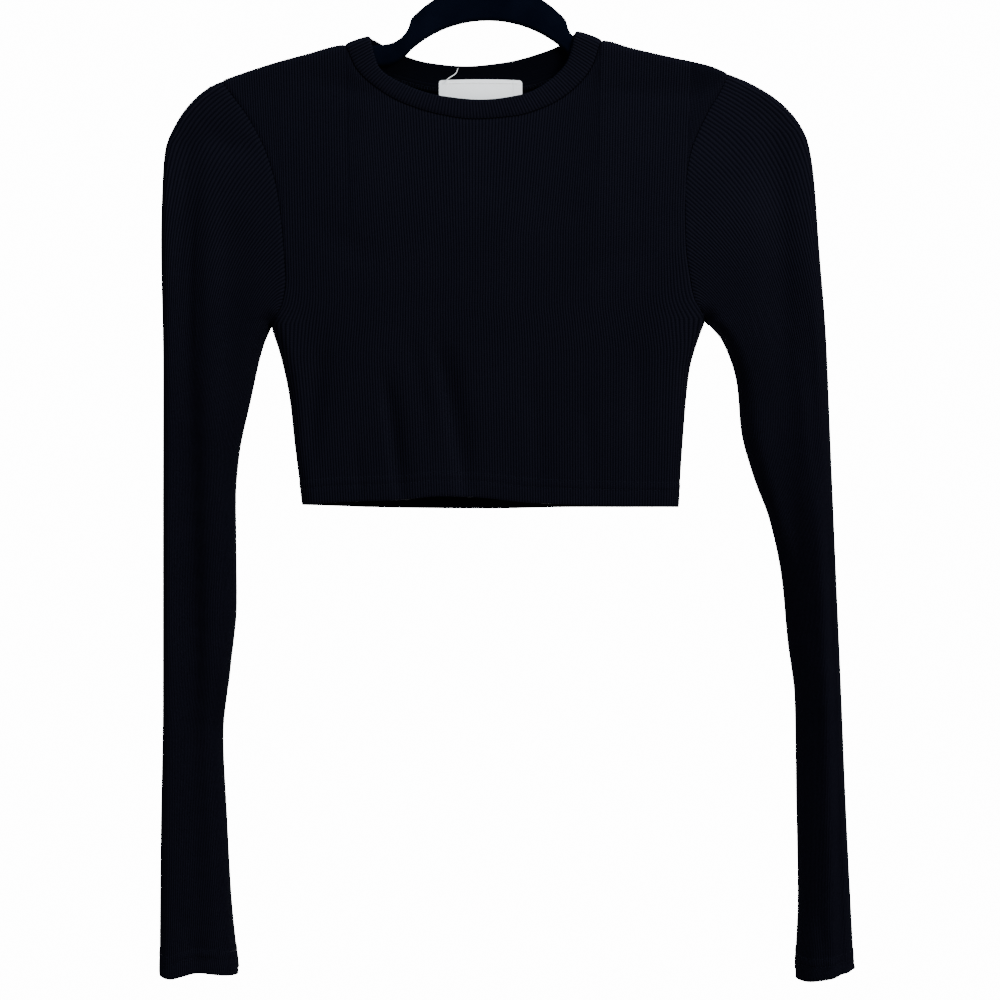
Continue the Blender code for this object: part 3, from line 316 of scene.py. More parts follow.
def away_from(line, x, drop):
    """Distance in the front view from each point to a dense line."""
    ax, ad = line[0][:-1], line[1][:-1]
    bx, bd = np.diff(line[0]), np.diff(line[1])
    px, pd = np.asarray(x, float)[..., None] - ax, np.asarray(drop, float)[..., None] - ad
    t = np.clip((px * bx + pd * bd) / (bx * bx + bd * bd), 0, 1)
    return np.hypot(px - t * bx, pd - t * bd).min(-1)


for side in OUTER_LINE:
    print("Outer line,", side, "side:", len(OUTER_LINE[side][0]), "points")

# %% [markdown]
# ## Two height fields
#
# The garment lies almost flat, so its front and its back are each a depth over the front view. Both
# close at the outer line. A fold presses one layer towards the other, but never through it.

# %% The two layers
PATH_POINTS = 73  # points that a fold's distance is measured from


def fold_depth(layer, x, drop):
    """How far the folds press a layer towards the other one."""
    folds, total = FOLDS[layer], np.zeros(np.broadcast(x, drop).shape)
    for i in range(len(folds["depth"])):
        path = [np.linspace(0, 1, PATH_POINTS)] * 2
        for axis, name in enumerate(("x", "drop")):
            start, middle, end = (folds[f"{name}{k}"][i] for k in range(3))
            t = path[axis]
            path[axis] = start * (1 - t) * (1 - 2 * t) + middle * 4 * t * (1 - t) + end * t * (2 * t - 1)
        px, pd = np.asarray(x, float)[..., None] - path[0], np.asarray(drop, float)[..., None] - path[1]
        far = np.hypot(px, pd)
        nearest = far.argmin(-1)
        beside = np.take_along_axis(px, nearest[..., None], -1)[..., 0]
        reach = np.where(beside < 0, folds["reach_left"][i], folds["reach_right"][i])
        fade = np.sin(np.pi * np.clip(nearest / (PATH_POINTS - 1), 0.02, 0.98)) ** 0.5
        total = total + folds["depth"][i] * fade * np.exp(-((far.min(-1) / reach) ** 2))
    return total


def ridge_drop(x):
    """Drop of the shoulder ridge, carried on straight over the neck and past the tips."""
    left, right = RIDGE["left"], RIDGE["right"]
    xs = np.concatenate([left["x"][::-1], right["x"]])
    return smooth(xs, np.concatenate([left["drop"][::-1], right["drop"]]), x)


def tube_middle(side, share, drop):
    """How far back the middle of a flattened sleeve lies, at a share from its inner to outer edge."""
    rows = SLEEVE[side]
    at = {name: smooth(rows["drop"], rows[name], drop) for name in rows if name != "drop"}
    knots = [0 * at["inner"], at["crest_at"], at["notch_at"], 1 + 0 * at["inner"]]
    depths = [at["inner"], at["crest"], at["notch"], at["outer"]]
    middle = depths[0]
    for k in range(3):
        t = ease((share - knots[k]) / (knots[k + 1] - knots[k]))
        middle = middle + (depths[k + 1] - depths[k]) * t
    return middle


def layer_depth(layer, part, x, drop):
    """y of a layer's outside. part is body, left or right, for the body or one of the sleeves."""
    x, drop = np.broadcast_arrays(np.asarray(x, float), np.asarray(drop, float))
    sign, fullness = (-1, FRONT_FULLNESS) if layer == "front" else (1, BACK_FULLNESS)
    swell = RIDGE_RADIUS + fullness * ease((drop - ridge_drop(x)) / FULL_AFTER)
    half, middle = swell, np.zeros_like(swell)
    for side, line in OUTER_LINE.items():
        if part not in ("body", side):
            continue
        width = RIDGE_RADIUS + (EDGE_ROUND - RIDGE_RADIUS) * ease((drop - 150) / 130)
        gap = away_from(line, x, drop)
        pit_x, pit_drop = PIT[side]
        below = drop > pit_drop
        inward = np.hypot(x - pit_x, drop - pit_drop)
        if part == "body":
            seam = x_on(SIDE_SEAM[side], drop)
            inward = np.where(below, np.abs(seam - x), inward)
            gap = np.where(below, 1e3, gap)
        else:
            inner = x_on(SLEEVE_INNER[side], drop)
            inward = np.where(below, np.abs(x - inner), inward)
            outer = x_on(OUTER[side], drop)
            edge = np.where(below, inner, x_on(ARMHOLE[side], drop))
            share = np.clip((x - edge) / (outer - edge), 0, 1)
            middle = tube_middle(side, share, drop)
            tube = smooth(SLEEVE[side]["drop"], SLEEVE[side]["half"], drop)
            half = half + (tube - half) * ease((drop - 240) / 80) * ease(inward / 40 + below)
        half = half * rounded(gap, width) * rounded(inward, EDGE_ROUND)
    closed = np.clip(half / 6, 0, 1)
    held = OVER_HANGER * (1 - ease((drop - ridge_drop(x) - 20) / 12))
    most = np.maximum(FOLD_LIMIT * half, 0.1)
    pressed = half - most * np.tanh(fold_depth(layer, x, drop) * closed / most)
    return middle + sign * np.maximum(pressed, np.minimum(half, held))


def armhole_x(side, layer, drop):
    """x of the armhole seam; the back seam bows outwards between the tip and the pit."""
    rows = ARMHOLE[side]
    t = np.clip((drop - rows["drop"][0]) / (rows["drop"][-1] - rows["drop"][0]), 0, 1)
    out = BACK_ARMHOLE_OUT * np.sin(np.pi * t) if layer == "back" else 0.0
    return x_on(rows, drop) + out * (-1 if side == "left" else 1)


for drop in (180, 260, 340):
    print("Drop", drop, "front at", layer_depth("front", "body", 0, drop).round(1), "mm")

# %% [markdown]
# ## A ribbed wall from a grid of points
#
# The outside follows each wale: four columns make one, from groove over crest to groove. The inside
# is plain and has one column in eight, because nobody sees it well. A seam sinks into the cloth.

# %% The wall
WALE_SHAPE = np.array([0.0, 0.72, 1.0, 0.72])  # height of a wale at its four columns
INNER_STRIDE = 8
SHARP_ANGLE = 55  # degrees between two faces from which their edge is drawn sharp
STRIP_THICK = 0.45  # of a seam allowance


def placed(x, y, drop):
    return np.stack([x, y, -np.asarray(drop)], -1)


def add_object(name, data):
    made = bpy.data.objects.new(name, data)
    bpy.context.scene.collection.objects.link(made)
    return made


def new_object(name, points, faces):
    """A smooth mesh through points in millimetres, as a new object in metres."""
    mesh = bpy.data.meshes.new(name)
    mesh.from_pydata((points * MM).tolist(), [], faces)
    mesh.shade_smooth()
    return add_object(name, mesh)


def face_outwards(mesh):
    shape = bmesh.new()
    shape.from_mesh(mesh)
    bmesh.ops.recalc_face_normals(shape, faces=shape.faces)
    shape.to_mesh(mesh)
    shape.free()


def along_edge(edge, closed):
    """Direction along an edge at each of its points, from the points beside it."""
    if closed:
        return np.roll(edge, -1, 0) - np.roll(edge, 1, 0)
    return np.gradient(edge, axis=0)


def grid_normals(points):
    """Directions square to a grid of points, from its neighbours, with blank points left out."""
    steps = []
    for axis in (1, 0):
        step = np.diff(points, axis=axis)
        blank = np.full_like(points[:, :1] if axis else points[:1], np.nan)
        ahead = np.nan_to_num(np.concatenate([step, blank], axis))
        behind = np.nan_to_num(np.concatenate([blank, step], axis))
        steps.append(ahead + behind)
    normal = np.cross(*steps)
    return normal / np.maximum(np.linalg.norm(normal, axis=-1, keepdims=True), 1e-9)


def ring_normals(points, row=slice(None)):
    """Outward directions of a grid that closes on itself. row is where inside and outside are told."""
    closed = np.concatenate([points[:, -1:], points, points[:, :1]], 1)
    normals = grid_normals(closed)[:, 1:-1]
    tested = points[row]
    outwards = ((tested - tested.reshape(-1, 3).mean(0)) * normals[row]).sum() > 0
    return normals if outwards else -normals


def seam_sink(points, seams, depth, reach):
    """How far each point sinks towards the inside because a seam runs near it."""
    line = np.concatenate([
        np.stack([np.interp(np.arange(0, len(s) - 1, 0.125), np.arange(len(s)), c) for c in s.T], -1)
        for s in seams
    ])
    tree = kdtree.KDTree(len(line))
    for k, point in enumerate(line):
        tree.insert(point, k)
    tree.balance()
    sink = np.zeros(points.shape[:2])
    for rc in zip(*np.nonzero(~np.isnan(points[..., 0]))):
        sink[rc] = tree.find(points[rc])[2]
    return depth * np.exp(-((sink / reach) ** 2))


def ribbed_mesh(name, points, normals, back, sink=0.0, closed=False, fade=None):
    """A closed wall with wales outside and a plain inside, as a new object in metres."""
    rows, columns = points.shape[:2]
    crest = WALE_SHAPE[np.arange(columns) % PER_WALE] * RIB_RELIEF
    crest = np.broadcast_to(crest, (rows, columns)).copy()
    if fade is not None:
        crest *= fade
    outer = points + normals * (crest - sink)[..., None]
    real = ~np.isnan(points[..., 0])
    inner = list(range(0, columns, INNER_STRIDE))
    if not closed and inner[-1] != columns - 1:
        inner.append(columns - 1)
    first_wing = np.flatnonzero(real[-1])
    if not closed:
        inner = sorted(set(inner) | {int(first_wing[0]), int(first_wing[-1])})
    number = np.full((rows, columns), -1)
    number[real] = np.arange(real.sum())
    verts = [outer[real]]
    base = int(real.sum())
    behind = np.full((rows, columns), -1)
    keep = np.zeros((rows, columns), bool)
    keep[:, inner] = True
    keep &= real
    behind[keep] = base + np.arange(keep.sum())
    verts.append(back[keep])
    faces = []
    span = list(zip(inner, inner[1:])) + ([(inner[-1], columns)] if closed else [])

    def whole(r, j):
        if not 0 <= r < rows - 1:
            return False
        if not closed and not 0 <= j < len(span):
            return False
        a, b = span[j % len(span)]
        return real[r, a] and real[r + 1, a] and real[r, b % columns] and real[r + 1, b % columns]

    for r in range(rows - 1):
        for j, (a, b) in enumerate(span):
            if not whole(r, j):
                continue
            cs = [c % columns for c in range(a, b + 1)]
            for c, d in zip(cs, cs[1:]):
                faces.append((number[r, c], number[r, d], number[r + 1, d], number[r + 1, c]))
            a, b = cs[0], cs[-1]
            faces.append((behind[r, a], behind[r + 1, a], behind[r + 1, b], behind[r, b]))
            for row, beside, turn in ((r, r - 1, False), (r + 1, r + 1, True)):
                if not whole(beside, j):
                    path = [number[row, c] for c in cs]
                    loop = path + [behind[row, b], behind[row, a]]
                    faces.append(tuple(loop[::-1] if not turn else loop))
            for col, beside, turn in ((a, j - 1, True), (b, j + 1, False)):
                if not whole(r, beside):
                    loop = (number[r, col], number[r + 1, col], behind[r + 1, col], behind[r, col])
                    faces.append(loop[::-1] if not turn else loop)
    made = new_object(name, np.concatenate(verts), faces)
    # The knit attribute holds each point's wale, its distance down the wale and its height. The material
    # paints shade from the height, darker in the grooves and lighter on the crests. The plain inside
    # keeps 0.4 of its height, so it is painted dark as well.
    around = np.broadcast_to(np.arange(columns) / PER_WALE, (rows, columns))
    down = running_total(np.nan_to_num(np.linalg.norm(np.diff(points, axis=0), axis=-1)))
    knit = np.stack([around, down, crest / RIB_RELIEF], -1)
    both = np.concatenate([knit[real], knit[keep] * (1, 1, 0.4)])
    made.data.attributes.new("knit", "FLOAT_VECTOR", "POINT").data.foreach_set("vector", both.ravel())
    face_outwards(made.data)
    made.data.set_sharp_from_angle(angle=math.radians(SHARP_ANGLE))
    return made


def add_strip(made, line, reaches, depth, closed=True):
    """Seam allowance: a closed strip behind a seam, from its points and outward directions.

    reaches holds, for each point of the seam, how far the strip goes to its two sides.
    """
    edge, out = line[:, :3], unit(line[:, 3:])
    across = unit(np.cross(out, along_edge(edge, closed)))
    share = np.array([0, 0.25, 0.5, 0.75, 1])[:, None, None]
    low, high = (np.asarray(r, float)[..., None] * across for r in reaches)
    front = edge - out * depth + low + (high - low) * share
    grid = np.concatenate([front, front[::-1] - out * STRIP_THICK])
    rows, columns = grid.shape[:2]
    shape = bmesh.new()
    shape.from_mesh(made.data)
    corner = [[shape.verts.new(p * MM) for p in row] for row in grid]
    turns = columns if closed else columns - 1
    for r in range(rows):
        low_row, high_row = corner[r], corner[(r + 1) % rows]
        for c in range(turns):
            d = (c + 1) % columns
            shape.faces.new((low_row[c], low_row[d], high_row[d], high_row[c])).smooth = True
    if not closed:
        for c in (0, columns - 1):
            shape.faces.new([corner[r][c] for r in range(rows)])
    bmesh.ops.recalc_face_normals(shape, faces=shape.faces)
    shape.to_mesh(made.data)
    shape.free()


# %% [markdown]
# ## Grids of the panels
#
# Knit runs in columns, called wales. The grid's columns follow them: they stay parallel from the
# hem to the armhole, and end one by one along its scoop.

# %% Panels
RIDGE_STEPS = (0.0, 0.7, 1.6, 2.8, 4.4, 6.6)  # drops of the first rows, which turn over the ridge
UPPER_ROWS, PIT_ROWS, LOWER_ROWS = 30, 12, 28
HEM_ROWS = (0.6, 2, 4, 6.5, 9, 10.4, 11.1, 11.8, 12.8, 14.5, 15.9, 16.6, 17.3, 18.3, 20)  # above an edge
HEM_STITCHES = (16.6, 11.1)  # two rows of coverstitch, above the edge of hem or cuff
ROWS_NEAR_EDGE = 30  # the rows of stitches lie within this many rows of the edge
HEM_DOUBLE = 0.35  # the turned-up hem is this much thicker than the single cloth
STITCH_DENT = 0.32  # how deep a row of stitches draws in
SEAM_DENT = 0.55, 1.5  # how deep a seam sinks into the cloth, and within what distance
STRIP_REACH, STRIP_OFF = (-1.7, 1.7), 0.25  # an allowance's reach from its seam, and behind the cloth
FULL_WALE, LEAST_RELIEF = 1.7, 0.3  # wales closer than this are flatter, down to this share
EXTRA_REACH = 0.13  # share of the width in which the wales spread where the panel is wider
EDGE_SWELL = 12.0  # how far a layer rounds back at its side edge, for the spacing of the wales
TURN_REACH = 28.0  # the wales draw together towards a turned edge within this drop of the pit
NARROWEST = {"left": 260.0, "right": 212.0}  # drop at which the armholes come closest
FAN = 1.035  # the columns stand this much wider apart at the top
TIP_MARGIN = 1.0  # the outermost column stays this far inside the shoulder tip
PANEL_CORNERS = {"left": NECK_FRONT["x"][0], "right": NECK_FRONT["x"][-1]}


def top_drop(layer, x):
    """Drop of a panel's top edge: the ridge, or the neck seam between the two ridges."""
    neck = NECK_FRONT if layer == "front" else NECK_BACK
    inside = (x > neck["x"][0]) & (x < neck["x"][-1])
    return np.where(inside, drop_on(neck, x), ridge_drop(x))


def neck_columns(layer, count):
    """x of count columns from neck corner to neck corner, closer together where the edge is steep."""
    x = np.linspace(PANEL_CORNERS["left"], PANEL_CORNERS["right"], 900)
    drop = top_drop(layer, x)
    y = layer_depth(layer, "body", x, drop)
    length = running_total(np.abs(np.diff(x)) + 0.3 * np.abs(np.diff(drop)) + 0.6 * np.abs(np.diff(y)))
    return np.interp(np.linspace(0, length[-1], count), length, x)


def seam_x(side, layer, drop):
    """x of the body's side edge: the armhole down to the pit, then the side seam."""
    if drop <= PIT[side][1]:
        return float(armhole_x(side, layer, drop))
    return float(x_on(SIDE_SEAM[side], drop))


def even_row(left, right, turned, drop_at, count, extra=(0, 0)):
    """count points from edge to edge of the body, denser where an edge is turned, with an extra."""
    share = (1 - np.cos(np.linspace(0, np.pi, 500))) / 2
    x = left + (right - left) * share
    y = turned[0] * rounded(x - left, EDGE_ROUND) - turned[1] * rounded(right - x, EDGE_ROUND)
    length = running_total(np.hypot(np.diff(x), EDGE_SWELL * np.diff(y)))
    s = np.linspace(0, 1, count)
    near_left, near_right = (np.clip(1 - t / EXTRA_REACH, 0, 1) ** 3 for t in (s, 1 - s))
    arc = (length[-1] - sum(extra)) * s + extra[0] * (1 - near_left) + extra[1] * near_right
    even = np.interp(arc, length, share)
    return left + (right - left) * even, drop_at(even)


def tube_shares(count, length):
    """Shares of the rows from the pit to an edge, with closer ones in the hem."""
    hem = [1 - h / length for h in HEM_ROWS]
    return [*np.linspace(0, hem[-1], count)[1:-1], *hem[::-1], 1.0]


def hem_relief(points):
    """How far the cloth stands out because its hem is doubled, less the dents of the stitches."""
    far = length_so_far(points[::-1])[::-1]
    far = np.where(np.isnan(far), 1e3, far)
    double = HEM_DOUBLE * ease((HEM_STITCHES[0] + 1.2 - far) / 1.4)
    dents = sum(STITCH_DENT * np.exp(-(((far - row) / 0.75) ** 2)) for row in HEM_STITCHES)
    return double - dents - 0.5 * np.clip(1 - far / 1.2, 0, 1) ** 2


def body_levels(hem):
    """Drops at the left and right edge, and the hem's share, of each row below the narrowest place."""
    levels = []
    for t in 1 - (1 - np.linspace(0, 1, PIT_ROWS + 1)) ** 1.3:
        levels.append([NARROWEST[s] + (PIT[s][1] - NARROWEST[s]) * t for s in PIT] + [0.0])
    ends = hem["drop"][0], hem["drop"][-1]
    for t in tube_shares(LOWER_ROWS, 125):
        levels.append([PIT[s][1] + (e - PIT[s][1]) * t for s, e in zip(PIT, ends)] + [t])
    return levels


def body_grid(layer, main, wing):
    """x and drop of a panel's grid: rows, and wing + main + wing columns. Wings end at the armhole."""
    hem = HEM_FRONT if layer == "front" else HEM_BACK
    lower = []
    for left_drop, right_drop, hem_share in body_levels(hem):
        def drop_at(share, a=left_drop, b=right_drop, t=hem_share):
            hem_x = hem["x"][0] + (hem["x"][-1] - hem["x"][0]) * share
            sag = drop_on(hem, hem_x) - (
                hem["drop"][0] + (hem["drop"][-1] - hem["drop"][0]) * share
            )
            return a + (b - a) * share + sag * t**2

        ends = seam_x("left", layer, left_drop), seam_x("right", layer, right_drop)
        extra = []
        for side, end, level, corner in zip(PIT, ends, (left_drop, right_drop), (0, -1)):
            start = NARROWEST[side], float(armhole_x(side, layer, NARROWEST[side]))
            t = (level - start[0]) / (hem["drop"][corner] - start[0])
            extra.append(abs(end) - abs(start[1] + (hem["x"][corner] - start[1]) * t))
        turned = [
            float(ease((level - PIT[side][1] + TURN_REACH) / (2 * TURN_REACH)))
            for side, level in zip(PIT, (left_drop, right_drop))
        ]
        lower.append(even_row(*ends, turned, drop_at, main + 1, extra))
    foot_x, foot_drop = lower[0]
    top_x = foot_x * FAN
    for side, at_start in (("left", True), ("right", False)):
        tip = RIDGE[side]["x"][-1] - math.copysign(TIP_MARGIN, RIDGE[side]["x"][-1])
        drops = np.linspace(RIDGE[side]["drop"][-1], NARROWEST[side], 600)
        seam = armhole_x(side, layer, drops)
        edge = 0 if at_start else -1
        share = np.arange(1, wing + 1) / wing
        wing_top = top_x[edge] + (tip - top_x[edge]) * share
        wing_foot = foot_x[edge] + (tip - foot_x[edge]) * share
        order = np.argsort(seam)
        wing_drop = np.interp(wing_foot, seam[order], drops[order])
        if at_start:
            wing_top, wing_foot, wing_drop = wing_top[::-1], wing_foot[::-1], wing_drop[::-1]
            parts = (wing_top, top_x), (wing_foot, foot_x), (wing_drop, foot_drop)
        else:
            parts = (top_x, wing_top), (foot_x, wing_foot), (foot_drop, wing_drop)
        top_x, foot_x, foot_drop = (np.concatenate(pair) for pair in parts)
    corners = list(PANEL_CORNERS.values())
    nearest = [int(np.abs(top_x - corner).argmin()) for corner in corners]
    shift = [0.0, corners[0] - top_x[nearest[0]], corners[1] - top_x[nearest[1]], 0.0]
    top_x = top_x + np.interp(np.arange(len(top_x)), [0, *nearest, len(top_x) - 1], shift)
    top_x[nearest[0] : nearest[1] + 1] = neck_columns(layer, nearest[1] + 1 - nearest[0])
    start = top_drop(layer, top_x)
    length = np.maximum(foot_drop - start, 0.3)
    upper = []
    steps = len(RIDGE_STEPS)
    for k in range(UPPER_ROWS):
        if k < steps:
            below = np.minimum(RIDGE_STEPS[k], length * k / UPPER_ROWS)
        else:
            first = np.minimum(RIDGE_STEPS[-1], length * (steps - 1) / UPPER_ROWS)
            below = first + (length - first) * (k - steps + 1) / (UPPER_ROWS - steps + 1)
        upper.append((top_x + (foot_x - top_x) * below / length, start + below))
    blank = np.full(wing, np.nan)
    rows = upper + [(foot_x, foot_drop)]
    rows += [tuple(np.concatenate([blank, v, blank]) for v in row) for row in lower[1:]]
    return np.array([r[0] for r in rows]), np.array([r[1] for r in rows]), nearest


def edge_normal(points, inside):
    """Outward direction along an edge where the two layers meet: across the edge, with no y."""
    along = np.gradient(points, axis=0)
    normal = np.stack([along[:, 2], np.zeros(len(along)), -along[:, 0]], -1)
    return unit(normal) * np.sign(((points - inside) * normal).sum())


def drawn_in(edge, out, inside, closed=False, gap=SEAM_GAP / 2):
    """An edge moved back from its seam: square to the edge and along the cloth."""
    back = unit(np.cross(out, along_edge(edge, closed)))
    return edge + back * gap * np.sign((back * (inside - edge)).sum())


def panel(layer, main, wing):
    """Outside and outward directions of a panel, and its seam edges."""
    x, drop, corners = body_grid(layer, main, wing)
    real = ~np.isnan(x)
    y = np.full_like(x, np.nan)
    y[real] = layer_depth(layer, "body", x[real], drop[real])
    points = placed(x, y, drop)
    first, last, pit_row = wing, wing + main, UPPER_ROWS + PIT_ROWS
    points[0, : corners[0] + 1, 1] = points[0, corners[1] :, 1] = 0
    for column in (first, last):
        points[pit_row:, column, 1] = 0
    normals = grid_normals(points)
    normals *= np.where((normals[..., 1:2] > 0) == (layer == "back"), 1, -1)
    for part in (slice(0, corners[0] + 1), slice(corners[1], None)):
        normals[0, part] = edge_normal(points[0, part], points[1, part])
    for column, beside in ((first, first + 1), (last, last - 1)):
        rows = slice(pit_row, None)
        normals[rows, column] = edge_normal(points[rows, column], points[rows, beside])
    both = np.concatenate([points, normals], -1)
    armhole = {
        "left": np.concatenate([
            both[:1, 0], both[UPPER_ROWS, : first + 1], both[UPPER_ROWS + 1 : pit_row + 1, first]
        ]),
        "right": np.concatenate([
            both[:1, -1], both[UPPER_ROWS, last:][::-1], both[UPPER_ROWS + 1 : pit_row + 1, last]
        ]),
    }
    neck = both[0, corners[0] : corners[1] + 1]
    sides = [points[pit_row:, first].copy(), points[pit_row:, last].copy()]
    middle = np.nanmean(points, (0, 1))
    points[0] = drawn_in(points[0], normals[0], middle)
    for foot, column in ((np.arange(first + 1), first), (np.arange(len(x[0]) - 1, last - 1, -1), last)):
        rows = np.concatenate([[0], np.full(len(foot), UPPER_ROWS), np.arange(UPPER_ROWS + 1, len(x))])
        columns = np.concatenate([[foot[0]], foot, np.full(len(x) - UPPER_ROWS - 1, column)])
        points[rows, columns] = drawn_in(points[rows, columns], normals[rows, columns], middle)
        tip = points[: UPPER_ROWS + 1, foot[0]]
        tip[:] = tip[0] + (tip[-1] - tip[0]) * np.linspace(0, 1, UPPER_ROWS + 1)[:, None]
    return points, normals, armhole, neck, sides


def row_above(points, normals, height):
    """Points and directions at a height above the last row, measured along the columns."""
    real = ~np.isnan(points[-1, :, 0])
    grid = np.concatenate([points, normals], -1)[: -ROWS_NEAR_EDGE : -1, real]
    far = length_so_far(grid[..., :3])
    return np.array([
        [np.interp(height, far[:, c], grid[:, c, k]) for k in range(6)] for c in range(real.sum())
    ])


panels, armholes, necks, stitch_lines = {}, {"left": {}, "right": {}}, {}, []
for layer in ("front", "back"):
    main, wing = BODY_WALES * PER_WALE, WING_WALES * PER_WALE
    points, normals, armhole, necks[layer], sides = panel(layer, main, wing)
    for side in armholes:
        armholes[side][layer] = armhole[side]
    seams = [armhole["left"][:, :3], armhole["right"][:, :3], necks[layer][:, :3], *sides]
    sink = seam_sink(points, seams, *SEAM_DENT) - hem_relief(points)
    back = points - normals * WALL
    stitch_lines += [row_above(points, normals, height) for height in HEM_STITCHES]
    wale_wide = np.nan_to_num(np.linalg.norm(np.gradient(points, axis=1), axis=-1)) * PER_WALE
    fade = np.clip(wale_wide / FULL_WALE, LEAST_RELIEF, 1)
    panels[layer] = ribbed_mesh(f"cloth_{layer}", points, normals, back, sink, fade=fade)
    if layer == "back":
        for line, sign in zip(sides, (-1, 1)):
            facing = np.concatenate([line, np.tile((sign, 0, 0), (len(line), 1))], 1)
            add_strip(panels[layer], facing, STRIP_REACH, WALL + STRIP_OFF, closed=False)
    print(layer, "panel:", len(panels[layer].data.polygons), "faces")

# %% [markdown]
# ## Grids of the sleeves
#
# The sleeve head is a smooth grid between the armhole's seam and a level line below the pit; from
# there the wales run straight down to the cuff.

# %% Sleeves
SLEEVE_LEVEL = 345.0  # from here down the rows go straight round the sleeve
TUBE_ROWS = 66  # rows from there to the cuff
HEAD_SHARES = np.linspace(0, 1, 34) ** 1.6  # rows from the armhole to that level
SHOWN = table("drop share", (345, 0.985), (420, 0.92), (560, 0.82), (750, 0.735))  # wales not run off
RUN_OFF = 0.022  # share of the width at the underarm seam that holds the wales run off
RELAXATIONS = 6000  # rounds of averaging that smooth the head's grid
HEAD_STRIDE = 4  # they work on one column in four
HEAD_BELL = 0.8  # how much faster the ribs meet the seam on the flanks than at tip and pit
ROWS_NEAR_HEAD = 12  # rows that the armhole's seam can reach
FLAT_WALE = 0.4  # wales this narrow have no relief left; those 0.7 mm wider have all of it


def unrolled_sleeve(side, layer):
    """The layer's x and y on a grid of levels and shares from outer to inner edge, and its lengths."""
    tip, pit, cuff = OUTER[side]["drop"][0] + 0.2, PIT[side][1], 760.0
    levels = np.concatenate([  # closer at the tip and round the pit, where the shape turns fast
        tip + np.linspace(0, 1, 24) ** 2 * 30, np.linspace(tip + 31, pit - 15, 60),
        np.linspace(pit - 14.5, pit + 15, 60), np.linspace(pit + 17, cuff, 200),
    ])
    share = (1 - np.cos(np.linspace(0, np.pi, 260))) / 2
    outer = x_on(OUTER[side], levels)
    inner = np.where(
        levels > PIT[side][1],
        x_on(SLEEVE_INNER[side], levels),
        armhole_x(side, layer, levels),
    )
    x = outer[:, None] + (inner - outer)[:, None] * share
    y = layer_depth(layer, side, x, np.repeat(levels[:, None], len(share), 1))
    length = running_total(np.hypot(np.diff(x), np.diff(y)), 1)
    even = np.linspace(0, 1, 200)
    grid = np.array([
        [np.interp(even * row[-1], row, values) for values in (xs, ys)]
        for row, xs, ys in zip(length, x, y)
    ])
    return levels, grid[:, 0], grid[:, 1], length[:, -1]


def on_sleeve(unrolled, share, drop):
    """Points at shares from the outer edge (0) to the inner edge or seam (1)."""
    levels, xs, ys, _ = unrolled
    row = np.clip(np.interp(drop, levels, np.arange(len(levels))), 0, len(levels) - 1.001)
    column = np.clip(share, 0, 1) * (xs.shape[1] - 1.001)
    r, c = row.astype(int), column.astype(int)
    fr, fc = row - r, column - c
    both = [
        (v[r, c] * (1 - fc) + v[r, c + 1] * fc) * (1 - fr)
        + (v[r + 1, c] * (1 - fc) + v[r + 1, c + 1] * fc) * fr
        for v in (xs, ys)
    ]
    return placed(both[0], both[1], drop)


def arc_shares(edge):
    """Share of an edge's length at each of its points."""
    length = length_so_far(edge[:, :3])
    return length / length[-1]


def along_polyline(edge, share):
    """Points at shares of an edge's length, and the outward directions there if the edge has them."""
    found = np.stack([np.interp(share, arc_shares(edge), column) for column in edge.T], -1)
    return (found[:, :3], unit(found[:, 3:])) if edge.shape[1] > 3 else found


def sleeve_shares(share, drop):
    """Shares of a row's length. Wales run off into the underarm seam as the sleeve narrows."""
    left = np.interp(drop, SHOWN["drop"], SHOWN["share"])
    main = share * (1 - RUN_OFF) / left
    return np.where(share < left, main, 1 - RUN_OFF + (share - left) / (1 - left) * RUN_OFF)


def head_grid(lengths_at, start_drop, pit_drop):
    """Arc and drop of the sleeve head's grid: the smoothest one between its four edges."""
    share = np.linspace(0, 1, len(start_drop))
    w = HEAD_SHARES[:, None]
    drop = start_drop * (1 - w) + SLEEVE_LEVEL * w
    end_drop = pit_drop * (1 - w[:, 0]) + SLEEVE_LEVEL * w[:, 0]
    last_row = sleeve_shares(share, SLEEVE_LEVEL) * lengths_at(SLEEVE_LEVEL)
    arc = lengths_at(start_drop) * (1 - w) + last_row * w
    arc[:, 0], arc[:, -1] = 0, lengths_at(end_drop)
    arc[0] = lengths_at(start_drop)
    above, below = np.diff(HEAD_SHARES)[:-1, None], np.diff(HEAD_SHARES)[1:, None]
    side = (len(start_drop) - 1) ** 2
    up, down = 2 / (above * (above + below)), 2 / (below * (above + below))
    for _ in range(RELAXATIONS):
        for field in (arc, drop):
            field[1:-1, 1:-1] = (
                side * (field[1:-1, :-2] + field[1:-1, 2:])
                + up * field[:-2, 1:-1] + down * field[2:, 1:-1]
            ) / (2 * side + up + down)
    return arc, drop


def finer(field, times):
    """A grid with times as many columns, straight between the old ones."""
    old = np.arange(field.shape[1])
    new = np.linspace(0, old[-1], old[-1] * times + 1)
    return np.array([np.interp(new, old, row) for row in field])


